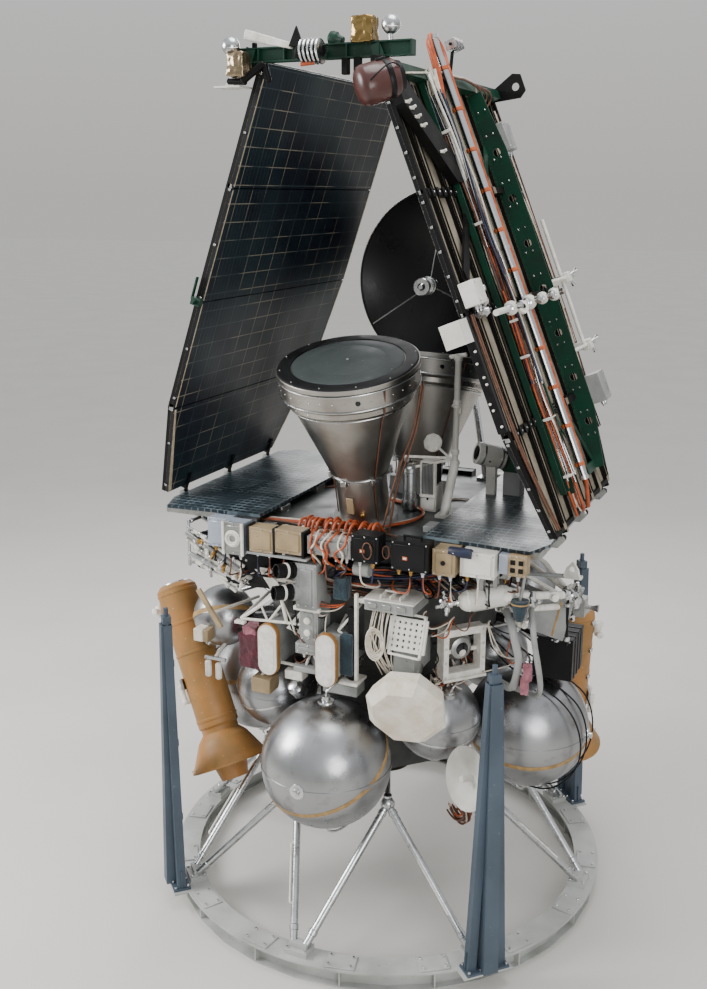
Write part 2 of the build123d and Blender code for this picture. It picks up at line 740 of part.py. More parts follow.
# White gas bottle on a saddle under the front corner of the deck
BOTTLE_FROM, BOTTLE_TO, BOTTLE_D = (1090, -1100, 3070), (1320, -990, 3110), 160


def gas_bottle():
    body = tube(BOTTLE_FROM, BOTTLE_TO, BOTTLE_D)
    return fuse([body, Pos(*BOTTLE_FROM) * Sphere(BOTTLE_D / 2), Pos(*BOTTLE_TO) * Sphere(BOTTLE_D / 2)])


def bottle_saddles(bottle):
    shapes = []
    for share in (0.4, 0.8):
        x, y, z = [a + (b - a) * share for a, b in zip(BOTTLE_FROM, BOTTLE_TO)]
        shapes.append(seated(block((x - 16, y - 30, z), (x + 16, y + 30, 3300)), [bottle]))
    return shapes


# Attitude thruster blocks at both sides, on brackets from the ring
THRUSTER_X = 1690
THRUSTER_Z = 2740


def thruster_block():
    body = Box(120, 130, 150)
    shapes = [body, Pos(60, 0, 0) * Rot(0, 90, 0) * Cylinder(18, 40, align=(MID, MID, LOW))]
    shapes.append(Pos(100, 0, 0) * Rot(0, 90, 0) * Cone(14, 34, 60, align=(MID, MID, LOW)))
    for side in (-1, 1):
        shapes.append(Pos(0, side * 65, 20) * Rot(-side * 90, 0, 0) * Cone(14, 34, 70, align=(MID, MID, LOW)))
        shapes.append(Pos(0, side * 30, 75) * Cone(14, 34, 70, align=(MID, MID, LOW)))
    return Pos(THRUSTER_X, 0, THRUSTER_Z) * fuse(shapes)


def blanket_cover(hull):
    # A box under a dark blanket at the right side, on a short arm
    body = block((1370, -190, 2140), (1700, 190, 2500))
    return seated(body + tube((930, 0, 2560), (1500, 0, 2400), 70), [hull])


def thruster_arm(hull, cluster):
    arms = [tube((BUS_APOTHEM - 30, side * 120, 2860), (THRUSTER_X - 20, side * 30, THRUSTER_Z - 20), 40)
            for side in (-1, 1)]
    return [seated(arm, [hull, cluster]) for arm in arms]


# Small round dish low at the front right, on an arm from the core
SMALL_DISH_AT = (1180, -1130, 1630)
SMALL_DISH_LOOKS = (-0.56, -0.83, 0.2)
SMALL_DISH_R = 250


def small_dish():
    outline = [(0, 0), (60, 0), (SMALL_DISH_R, 60), (SMALL_DISH_R, 72), (60, 14), (0, 14)]
    rim = turned(outline)
    horn = Pos(0, 0, 8) * Cylinder(26, 110, align=(MID, MID, LOW))
    boss = Pos(0, 0, -140) * Cylinder(70, 146, align=(MID, MID, LOW))
    return aimed(SMALL_DISH_AT, SMALL_DISH_LOOKS, fuse([rim, horn, boss]))


def small_dish_arm(dish, core):
    arm = tube((380, -380, 1330), (1236, -1047, 1605), 50)
    return seated(arm, [dish, core])


# Deck instruments beside the rear capsule
def deck_camera():
    barrel = aimed((800, 330, 3850), (-0.8, -0.55, 0.25), Cylinder(95, 260))
    foot = block((770, 300, SIDE_PANEL_Z + SIDE_PANEL_THICK), (850, 370, 3830))
    return barrel + foot


def deck_pole():
    low, elbow, top = (580, -230, DECK_TOP_Z + 10), (622, -100, 3865), (630, -100, 4765)
    leg = tube(low, elbow, 76)
    pole = tube(elbow, top, 50) + Pos(*elbow) * Sphere(40)
    foot = block((520, -290, DECK_TOP_Z), (640, -170, DECK_TOP_Z + 24))
    below = Pos(0, 0, DECK_TOP_Z) * Box(3000, 3000, 100, align=(MID, MID, Align.MAX))
    disc = aimed((465, -200, 4040), (-0.1, -0.9, 0.35), Cylinder(75, 16))
    stem = tube((465, -190, 4035), elbow, 20)
    return fuse([leg, pole, foot, disc, stem]) - below


def deck_box():
    return fuse([
        block((330, -120, DECK_TOP_Z), (470, 60, DECK_TOP_Z + 220)),
        block((350, -90, DECK_TOP_Z + 220), (450, 30, DECK_TOP_Z + 420)),
    ])


# Parts on the outside of the right wing, drawn flat like the wing itself
TUBE_Y, TUBE_Z, TUBE_D = -225, 190, 66
CROSSBAR_S, CROSSBAR_Z, CROSSBAR_D = 1750, 285, 44
ROD_Y, ROD_Z, ROD_D = 1190, 170, 34


def wing_tube():
    barrel = tube((330, TUBE_Y, TUBE_Z), (3850, TUBE_Y, TUBE_Z), TUBE_D)
    collars = [Pos(s, TUBE_Y, TUBE_Z) * Rot(0, 90, 0) * Cylinder(TUBE_D / 2 + 5, 30) for s in (340, 2200, 3840)]
    saddles = [block((s - 20, TUBE_Y - 30, TIE_TOP), (s + 20, TUBE_Y + 30, TUBE_Z)) for s in TIE_ROWS]
    return fuse([barrel] + collars + saddles)


def wing_crossbar():
    s, z = CROSSBAR_S, CROSSBAR_Z
    bar = tube((s, -1260, z), (s, 640, z), CROSSBAR_D)
    feet = []
    for girder_y, depth in GIRDERS:
        feet.append(block((s - 20, girder_y - 6, WING_FRAME_TOP + depth), (s + 20, girder_y + 6, z)))
    valves = [Pos(s, y, z) * Sphere(r) for y, r in ((-900, 52), (-420, 56), (-40, 48), (330, 52))]
    return fuse([bar] + feet + valves)


def wing_rod():
    rod = tube((1230, ROD_Y, ROD_Z), (2400, ROD_Y, ROD_Z), ROD_D)
    feet = [block((s - 30, ROD_Y - 14, WING_FRAME_TOP), (s + 30, ROD_Y + 14, ROD_Z)) for s in (1260, 1850)]
    return fuse([rod] + feet)


def wing_boxes():
    low = WING_FRAME_TOP
    return [
        block((1850, -1180, low), (2020, -1000, low + 110)),
        block((760, 1150, low), (960, 1300, low + 130)),
        block((3080, 1000, low), (3250, 1160, low + 90)),
    ]


def wing_side_box():
    arm = block((1700, -1310, WING_THICK + 6), (1760, -1185, WING_FRAME_TOP - 6))
    return fuse([arm, block((1620, -1480, -60), (1790, -1310, 90))])


def wing_diagonal():
    # A dark arm from the front top corner down to the front girder, and a lighter one below it
    arm = plate([(3505, -1145), (3300, -1165), (2740, -600), (2740, -392), (2860, -392), (3505, -980)], 70)
    strip = plate([(2650, -392), (2570, -392), (2040, -940), (2050, -990), (2110, -1000)], 20)
    return [Pos(0, 0, WING_FRAME_TOP) * shape for shape in (arm, strip)]


# Sensor pot with a dark cap, on an arm from the front of the right wing's head
def sensor_pot(head):
    body = aimed((440, -1470, 6735), (-0.75, -0.6, -0.28), turned([
        (0, -150), (150, -150), (156, -120), (150, 90), (140, 90), (140, 120), (158, 124), (158, 150), (0, 150),
    ]))
    return seated(body + tube((450, -1400, 6750), (400, -1220, 6850), 60), [head])


# Gold box with a silver ball in front of the left tie beam, and a plate on a bracket below it
def gold_box():
    front = TIE_BEAM_Y - 40
    return block((-700, front - 140, 6790), (-560, front, 6960)) + Pos(-690, front - 70, 7005) * Sphere(62)


def head_plate():
    bracket = upright_plate([(-720, 6895), (-670, 6895), (-730, 6747), (-800, 6747)], TIE_BEAM_Y - 20, 40)
    return bracket + block((-850, TIE_BEAM_Y - 90, 6735), (-640, TIE_BEAM_Y + 90, 6747))


# Foil box and a second ball on top of the right tie beam
def foil_box():
    top = TIE_BEAM_Z + 50
    stem = Pos(475, TIE_BEAM_Y, top) * Cylinder(22, 60, align=(MID, MID, LOW))
    ball = Pos(475, TIE_BEAM_Y, top + 100) * Sphere(62)
    box = block((200, TIE_BEAM_Y - 70, top), (370, TIE_BEAM_Y + 70, top + 170))
    link = block((370, TIE_BEAM_Y - 12, top), (475, TIE_BEAM_Y + 12, top + 30))
    return fuse([box, link, stem, ball])


def main():
    core = propulsion_core()
    bus = bus_shell()
    keep("stand_ring", [stand_ring()])
    keep("strut_shoes", [around(k * EIGHTH, STRUT_FOOT_R, RING_TOP_Z, strut_shoe()) for k in range(8)])
    keep("stand_struts", stand_struts())
    keep("stand_posts", [stand_post(a) for a in POST_AZIMUTHS])
    keep("propulsion_core", [core])
    keep("cradle_nodes", cradle_nodes(core))
    keep("large_tanks", [tank(LARGE_TANK_R, LARGE_TANK_AT_R, LARGE_TANK_Z, 90 * k, 200) for k in range(4)])
    keep("small_tanks", [tank(SMALL_TANK_R, SMALL_TANK_AT_R, SMALL_TANK_Z, 45 + 90 * k, 140) for k in range(4)])
    keep("engine", [engine()])
    keep("bus_shell", [bus])
    keep("service_tanks", [service_tank(a, bus) for a in SERVICE_TANK_AZIMUTHS])
    floor = deck()
    keep("deck", [floor])
    beam = edge_beam()
    keep("edge_beams", [beam, mirrored(beam)])
    keep("cross_beams", cross_beams() + [mirrored(shape) for shape in cross_beams()])
    keep("side_panels", [side_panel(), mirrored(side_panel())])
    boxes = equipment_boxes([floor])
    boxes["black_boxes"].append(blanket_cover(bus))
    for node, shapes in boxes.items():
        keep(node, shapes)

    column = sensor_column(bus)
    keep("sensor_column", [column])
    keep("star_sensors", [star_sensor(at, towards, column) for at, towards in STAR_TUBES])
    keep("triangle_brackets", triangle_brackets())
    keep("oval_covers", oval_covers())
    front_boxes = grey_boxes(bus)
    keep("backing_boxes", oval_backs(bus) + front_boxes)
    keep("hole_plate", [hole_plate()])
    blanket = blanket_dish()
    keep("blanket_dish", [blanket])
    arms = [blanket_bracket([blanket] + front_boxes)]
    keep("square_frame", [seated(square_frame(), [bus])])
    bottle = gas_bottle()
    keep("gas_bottle", [bottle])
    arms.extend(bottle_saddles(bottle))
    cluster = thruster_block()
    keep("thruster_blocks", [cluster, mirrored(cluster)])
    for arm in thruster_arm(bus, cluster) + side_braces(bus, beam):
        arms.extend([arm, mirrored(arm)])
    dish = small_dish()
    keep("small_dish", [dish])
    arms.append(small_dish_arm(dish, core))
    keep("instrument_arms", arms)

    probes = [probe(*ends) for ends in PROBES]
    keep("probes", probes)
    arms = []
    for ends, shape in zip(PROBES, probes):
        arms.extend(probe_arms(*ends, (bus, shape)))
    keep("probe_arms", arms)

    keep("capsule_bodies", [capsule_place(s, capsule_body(neck)) for s, neck in CAPSULE_NECKS.items()])
    keep("capsule_lids", [capsule_place(s, capsule_lid(neck)) for s, neck in CAPSULE_NECKS.items()])
    keep("capsule_seats", [capsule_seat(s) for s in (-1, 1)])
    reflector = dish_reflector()
    keep("dish_reflector", [reflector])
    keep("dish_feed", [seated(dish_feed(), [reflector])])
    keep("dish_mast", [dish_mast(reflector)])
    keep("deck_camera", [deck_camera()])
    keep("deck_pole", [deck_pole()])
    keep("deck_box", [deck_box()])

    for side in ("left", "right"):
        keep(f"{side}_wing_panels", [wing_place(side, s) for s in wing_panels()])
        keep(f"{side}_wing_frame", [wing_place(side, fuse([wing_frame()] + wing_knuckles()))])
        keep(f"{side}_wing_girders", [wing_place(side, s) for s in wing_girders()])
    head = {side: wing_place(side, wing_head(side)) + tie_beam_half(side) for side in ("left", "right")}
    keep("left_wing_head", [head["left"]])
    keep("right_wing_head", [head["right"]])
    keep("gold_box", [gold_box()])
    keep("head_plate", [head_plate()])
    keep("foil_box", [foil_box()])
    keep("sensor_pot", [sensor_pot(head["right"])])
    keep("right_wing_tube", [wing_place("right", wing_tube())])
    keep("right_wing_crossbar", [wing_place("right", wing_crossbar())])
    keep("right_wing_rod", [wing_place("right", wing_rod())])
    keep("right_wing_boxes", [wing_place("right", s) for s in wing_boxes() + [wing_side_box()]])
    keep("right_wing_diagonal", [wing_place("right", shape) for shape in wing_diagonal()])


main()
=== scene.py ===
"""Finishes and fittings for an interplanetary probe spacecraft on its round assembly stand.

Metres, +Z up, origin on the floor at the centre of the stand's ring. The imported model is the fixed
frame: its nodes get their finishes here, and the detailed pieces ride on its bodies.
"""
import json
import math
import random

import bpy
from bpy.props import FloatProperty, FloatVectorProperty, IntProperty, PointerProperty
from mathutils import Matrix, Vector


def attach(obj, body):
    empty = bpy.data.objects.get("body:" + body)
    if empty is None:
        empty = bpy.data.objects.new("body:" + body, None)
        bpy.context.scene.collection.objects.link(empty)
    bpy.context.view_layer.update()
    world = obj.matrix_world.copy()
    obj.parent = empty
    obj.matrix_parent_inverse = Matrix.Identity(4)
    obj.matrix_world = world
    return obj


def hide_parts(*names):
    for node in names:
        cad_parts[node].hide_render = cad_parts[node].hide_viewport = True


bl_info = {
    "name": "Planetary Probe Finish",
    "version": (1, 0, 0),
    "blender": (4, 5, 0),
    "location": "3D View > Sidebar > Probe",
    "description": "Dresses the packed planetary probe and its stand with finishes, tanks, cells and wiring",
    "category": "Object",
}

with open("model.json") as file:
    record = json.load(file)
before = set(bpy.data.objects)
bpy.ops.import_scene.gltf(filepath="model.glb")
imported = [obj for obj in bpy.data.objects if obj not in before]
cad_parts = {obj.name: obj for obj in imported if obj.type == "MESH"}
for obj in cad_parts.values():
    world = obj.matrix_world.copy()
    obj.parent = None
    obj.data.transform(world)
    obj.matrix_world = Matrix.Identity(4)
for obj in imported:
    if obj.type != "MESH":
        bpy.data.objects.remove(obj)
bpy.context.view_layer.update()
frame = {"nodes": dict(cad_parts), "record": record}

DOUBLES = 0.00005  # points nearer than this, in metres, are one point
HINGE_X = 1.670
HINGE_Z = 3.500
WING_LEANS = {"left": math.radians(19), "right": math.radians(22)}

# Azimuths in degrees, and places in metres: distance from the craft's upright axis, height
QUARTERS = (0, 90, 180, 270)
DIAGONALS = (45, 135, 225, 315)
SERVICE_AZIMUTHS = (48, 132, 214)
RING_TOP = 0.18
JOINT_RADIUS = 1.845
STRUT_FOOT_RADIUS = 1.82
STRUT_HEAD_RADIUS = 1.08
POST_RADIUS = 1.985
TANK_RADIUS, TANK_HEIGHT = 1.3, 1.6
SMALL_TANK_RADIUS, SMALL_TANK_HEIGHT = 1.04, 1.89
SERVICE_TANK_RADIUS, SERVICE_TANK_HEIGHT = 1.45, 2.49
HULL_RADIUS = 1.0
DECK_TOP = 3.43
ON_DECK = 3.445  # wires that lie on the deck
PLUG_PITCH = 0.08
SMOOTH_ANGLE = math.radians(38)


def linear(code):
    """Turn an sRGB hex colour into the linear RGBA that sockets take."""
    shares = [int(code[i:i + 2], 16) / 255 for i in (1, 3, 5)]
    return (*(c / 12.92 if c <= 0.04045 else ((c + 0.055) / 1.055) ** 2.4 for c in shares), 1.0)


def add(tree, kind, sockets=None, **settings):
    """Add a shader node, set its settings, and fill its sockets with values or links."""
    node = tree.nodes.new("ShaderNode" + kind)
    for name, value in settings.items():
        setattr(node, name, value)
    for name, value in (sockets or {}).items():
        if isinstance(value, bpy.types.NodeSocket):
            tree.links.new(value, node.inputs[name])
        else:
            node.inputs[name].default_value = value
    return node


def blank(name, sockets=None):
    """Start a material: its tree, its surface shader and the place of a point on the object."""
    material = bpy.data.materials.new(name)
    material.use_nodes = True
    tree = material.node_tree
    tree.nodes.clear()
    shader = add(tree, "BsdfPrincipled", sockets)
    add(tree, "OutputMaterial", {"Surface": shader.outputs["BSDF"]})
    place = add(tree, "TexCoord").outputs["Object"]
    return (material, tree, shader, place)


def spots(tree, place, size, low, high, detail=3.0, stretch=(1, 1, 1)):
    """Cloudy patches of about a size in metres, as 0 to 1 between two noise levels."""
    where = add(tree, "Mapping", {"Vector": place, "Scale": [s / size for s in stretch]}).outputs[0]
    noise = add(tree, "TexNoise", {"Vector": where, "Scale": 1.0, "Detail": detail}).outputs[0]
    spread = {"Value": noise, "From Min": low, "From Max": high}
    return add(tree, "MapRange", spread).outputs[0]


def blend_colour(tree, share, first, second):
    """Mix two colours or colour sockets by a share."""
    return add(tree, "Mix", {0: share, 6: first, 7: second}, data_type="RGBA").outputs[2]


def coated(name, base, worn, roughness=0.45, patch=0.30, chips=None, grain=0.012, bump=0.15, ior=1.5):
    """A painted or coated metal: faint patches, fine orange peel and, if asked, small chips of the metal."""
    material, tree, shader, place = blank(name, sockets={"IOR": ior})
    patches = spots(tree, place, patch, 0.35, 0.75, 5.0)
    base = linear(base) if isinstance(base, str) else base
    colour = blend_colour(tree, patches, base, linear(worn))
    if chips:
        specks = spots(tree, place, 0.022, 0.72, 0.75, 2.0)
        colour = blend_colour(tree, specks, colour, linear(chips))
    tree.links.new(colour, shader.inputs["Base Color"])
    rough = {"Value": patches, "To Min": roughness - 0.06, "To Max": roughness + 0.12}
    tree.links.new(add(tree, "MapRange", rough).outputs[0], shader.inputs["Roughness"])
    peel = spots(tree, place, grain, 0.2, 0.8, 2.0)
    relief = add(tree, "Bump", {"Height": peel, "Strength": bump, "Distance": 0.002})
    tree.links.new(relief.outputs[0], shader.inputs["Normal"])
    return material


def bright(name, base, stain, smooth=0.22, rough=0.42, patch=0.25, streaks=(1, 1, 1), stain_from=0.55):
    """A bare metal: cloudy half polish with stained patches, and streaks where it was drawn or rolled."""
    material, tree, shader, place = blank(name, sockets={"Metallic": 1.0})
    clouds = spots(tree, place, patch, 0.3, 0.72, 6.0, streaks)
    stains = spots(tree, place, patch * 0.6, stain_from, 0.85, 4.0)
    tree.links.new(blend_colour(tree, stains, linear(base), linear(stain)), shader.inputs["Base Color"])
    spread = {"Value": clouds, "To Min": smooth, "To Max": rough}
    tree.links.new(add(tree, "MapRange", spread).outputs[0], shader.inputs["Roughness"])
    hammered = spots(tree, place, patch * 0.35, 0.3, 0.7, 2.0)
    relief = add(tree, "Bump", {"Height": hammered, "Strength": 0.12, "Distance": 0.004})
    tree.links.new(relief.outputs[0], shader.inputs["Normal"])
    return material


def crinkled(name, base, shade, metallic, roughness, crease):
    """Thin foil or wrapped blanket: sharp creases at two sizes that catch the light one by one, with painted
    shade low in the folds and lighter ridges.
    """
    fixed = {"Metallic": metallic, "Roughness": roughness}
    material, tree, shader, place = blank(name, sockets=fixed)
    heights = []
    for size, detail in ((crease * 3, 3.0), (crease, 2.0)):
        where = add(tree, "Mapping", {"Vector": place, "Scale": [1 / size] * 3}).outputs[0]
        ridges = {"Vector": where, "Scale": 1.0, "Detail": detail}
        heights.append(add(tree, "TexNoise", ridges, noise_type="RIDGED_MULTIFRACTAL").outputs[0])
    folds = add(tree, "Math", {0: heights[0], 1: heights[1]}, operation="ADD").outputs[0]
    # Low folds take the shade colour and ridges the base colour: painted shade in the creases
    tone = add(tree, "MapRange", {"Value": folds, "From Min": 0.8, "From Max": 2.6}).outputs[0]
    tree.links.new(blend_colour(tree, tone, linear(shade), linear(base)), shader.inputs["Base Color"])
    relief = add(tree, "Bump", {"Height": folds, "Strength": 0.55, "Distance": crease * 0.35})
    tree.links.new(relief.outputs[0], shader.inputs["Normal"])
    return material


def woven(name, base, shade, crease):
    """Sewn cloth over a form: thread grain, soft folds and slight soiling."""
    material, tree, shader, place = blank(name, sockets={"Roughness": 0.85, "Sheen Weight": 0.2})
    soil = spots(tree, place, crease * 3, 0.35, 0.7, 4.0)
    tree.links.new(blend_colour(tree, soil, linear(base), linear(shade)), shader.inputs["Base Color"])
    # Threads are drawn 6 mm apart, coarser than the real cloth, so that they show
    threads = spots(tree, place, 0.006, 0.3, 0.7, 1.0)
    folds = spots(tree, place, crease, 0.25, 0.75, 3.0)
    height = add(tree, "Math", {0: folds, 1: 6.0, 2: threads}, operation="MULTIPLY_ADD").outputs[0]
    relief = add(tree, "Bump", {"Height": height, "Strength": 0.5, "Distance": 0.003})
    tree.links.new(relief.outputs[0], shader.inputs["Normal"])
    return material


def sleeved(name, base, shade, roughness=0.45, ior=1.5):
    """Wire insulation or moulded plastic: an even colour with slight handling marks."""
    material, tree, shader, place = blank(name, sockets={"Roughness": roughness, "IOR": ior})
    marks = spots(tree, place, 0.05, 0.35, 0.7, 3.0)
    tree.links.new(blend_colour(tree, marks, linear(base), linear(shade)), shader.inputs["Base Color"])
    lacing = spots(tree, place, 0.01, 0.3, 0.7, 1.0)
    relief = add(tree, "Bump", {"Height": lacing, "Strength": 0.2, "Distance": 0.001})
    tree.links.new(relief.outputs[0], shader.inputs["Normal"])
    return material


def ruled(tree, value, pitch, width, shift=0.0):
    """Thin lines every pitch along a measure, as 1 on a line and 0 between."""
    turns = add(
        tree, "Math", {0: value, 1: 1 / pitch, 2: shift / pitch}, operation="MULTIPLY_ADD",
    ).outputs[0]
    share = add(tree, "Math", {0: turns}, operation="FRACT").outputs[0]
    away = add(tree, "Math", {0: share, 1: 0.5}, operation="SUBTRACT").outputs[0]
    away = add(tree, "Math", {0: away}, operation="ABSOLUTE").outputs[0]
    return add(tree, "Math", {0: away, 1: 0.5 - width / pitch / 2}, operation="GREATER_THAN").outputs[0]


def any_of(tree, *masks):
    """The highest of several masks."""
    whole = masks[0]
    for mask in masks[1:]:
        whole = add(tree, "Math", {0: whole, 1: mask}, operation="MAXIMUM").outputs[0]
    return whole


def wing_measures(tree, place, side):
    """How far up a wing a point is, how far back, and how far out of the cell face."""
    sign = -1 if side == "left" else 1
    lean = WING_LEANS[side]
    up = (-sign * math.sin(lean), 0, math.cos(lean))
    out = (sign * math.cos(lean), 0, math.sin(lean))
    hinge = (sign * HINGE_X, 0, HINGE_Z)
    local = add(tree, "VectorMath", {0: place, 1: hinge}, operation="SUBTRACT").outputs[0]
    height = add(tree, "VectorMath", {0: local, 1: up}, operation="DOT_PRODUCT").outputs["Value"]
    depth = add(tree, "VectorMath", {0: local, 1: out}, operation="DOT_PRODUCT").outputs["Value"]
    back = add(tree, "SeparateXYZ", {0: place}).outputs["Y"]
    return (height, back, depth)


def cell_surface(tree, place, along, across, grid, tones):
    """Colour of dark cells with broad patches of painted sheen, ruled by joints and by finer strips that
    catch the light here and there as painted highlights.
    """
    row, column, row_line, column_line, finer = grid
    dark, sheen, dull, lit = (linear(tone) for tone in tones)
    rows = ruled(tree, along, row, row_line)
    columns = ruled(tree, across, column, column_line)
    strips = ruled(tree, across, column / finer, column_line * 0.55)
    caught = spots(tree, place, column * 2.2, 0.44, 0.6, 1.0)
    faint = spots(tree, place, column * 2.7, 0.34, 0.62, 1.0)
    # Broad patches where the cells take the sheen tone: a painted reflection on the cover glass
    sheen_patches = spots(tree, place, 0.9, 0.38, 0.66, 2.0)
    cells = blend_colour(tree, sheen_patches, dark, sheen)
    # The finer strips take the dull tone only in the faint patches: painted highlight where they catch the
    # light
    weak = add(tree, "Math", {0: strips, 1: faint}, operation="MULTIPLY").outputs[0]
    cells = blend_colour(tree, weak, cells, dull)
    # Joints take the lit tone in the caught patches: painted highlight
    joints = blend_colour(tree, caught, dull, lit)
    return blend_colour(tree, any_of(tree, rows, columns), cells, joints)


def solar_cells(side, sizes):
    """Silicon cells under cover glass: near black with patches of painted sheen, ruled by pale joints that
    carry painted highlights, with insulation cloth outside.
    """
    # The low index stands for the anti-reflective coating that keeps the blue-black deep
    material, tree, shader, place = blank(f"solar cells, {side} wing", sockets={"IOR": 1.32})
    height, back, depth = wing_measures(tree, place, side)
    grid = (sizes.cell_row, sizes.cell_column, 0.007, 0.008, 4)
    # The second tone is a painted sheen on the cover glass, the fourth a painted highlight on the joints
    tones = ("#060a18", "#18292f", "#333f44", "#807a6c")
    cells = cell_surface(tree, place, height, back, grid, tones)
    soil = spots(tree, place, 0.14, 0.38, 0.75, 4.0)
    outside = blend_colour(tree, soil, linear("#8f8777"), linear("#6f6757"))
    is_outside = add(tree, "Math", {0: depth, 1: 0.0295}, operation="GREATER_THAN").outputs[0]
    # The panels' edges, a few millimetres behind the glass, are black varnished frame
    behind = add(tree, "Math", {0: depth, 1: 0.004}, operation="GREATER_THAN").outputs[0]
    cells = blend_colour(tree, behind, cells, linear("#0b0c0f"))
    tree.links.new(blend_colour(tree, is_outside, cells, outside), shader.inputs["Base Color"])
    smudges = spots(tree, place, 0.5, 0.35, 0.7, 4.0)
    gloss = add(tree, "MapRange", {"Value": smudges, "To Min": 0.3, "To Max": 0.46}).outputs[0]
    rough = add(tree, "Mix", {0: is_outside, 2: gloss, 3: 0.85}).outputs[0]
    tree.links.new(rough, shader.inputs["Roughness"])
    return material


def wing_frame_skin(side):
    """Black anodised frame whose stringers carry a varnished tan strip on their outer faces."""
    name = f"anodised frame with varnished strips, {side} wing"
    material, tree, shader, place = blank(name, sockets={"IOR": 1.25})
    _, back, depth = wing_measures(tree, place, side)
    # The stringers stand 315 mm apart from y = -980 mm, and their outer faces are 62 mm out
    strips = ruled(tree, back, 0.315, 0.072, 0.98)
    outer = add(tree, "Math", {0: depth, 1: 0.0615}, operation="GREATER_THAN").outputs[0]
    strip = add(tree, "Math", {0: strips, 1: outer}, operation="MULTIPLY").outputs[0]
    soil = spots(tree, place, 0.16, 0.36, 0.7, 4.0)
    varnish = blend_colour(tree, soil, linear("#8a8170"), linear("#5d5648"))
    black = blend_colour(tree, soil, linear("#070708"), linear("#0f0f0d"))
    tree.links.new(blend_colour(tree, strip, black, varnish), shader.inputs["Base Color"])
    rough = add(tree, "MapRange", {"Value": soil, "To Min": 0.5, "To Max": 0.68}).outputs[0]
    tree.links.new(rough, shader.inputs["Roughness"])
    return material


def panel_cells():
    """The fixed panels' cells: the same glass laid flat, a close grid whose joints catch the light, with a
    painted sheen and painted highlights on the joints.
    """
    material, tree, shader, place = blank("solar cells, fixed panels", sockets={"IOR": 1.45})
    axes = add(tree, "SeparateXYZ", {0: place})
    # Rows 70 mm apart with 20 mm joints, which are wide because they lie across the low view
    tones = ("#0b131a", "#1f2b33", "#3a464b", "#66747a")
    grid = (0.07, 0.06, 0.022, 0.009, 1)
    # The second tone is a painted sheen on the glass, the fourth a painted highlight on the joints
    colour = cell_surface(tree, place, axes.outputs["Y"], axes.outputs["X"], grid, tones)
    tree.links.new(colour, shader.inputs["Base Color"])
    smudges = spots(tree, place, 0.35, 0.35, 0.7, 4.0)
    gloss = add(tree, "MapRange", {"Value": smudges, "To Min": 0.24, "To Max": 0.42}).outputs[0]
    tree.links.new(gloss, shader.inputs["Roughness"])
    return material


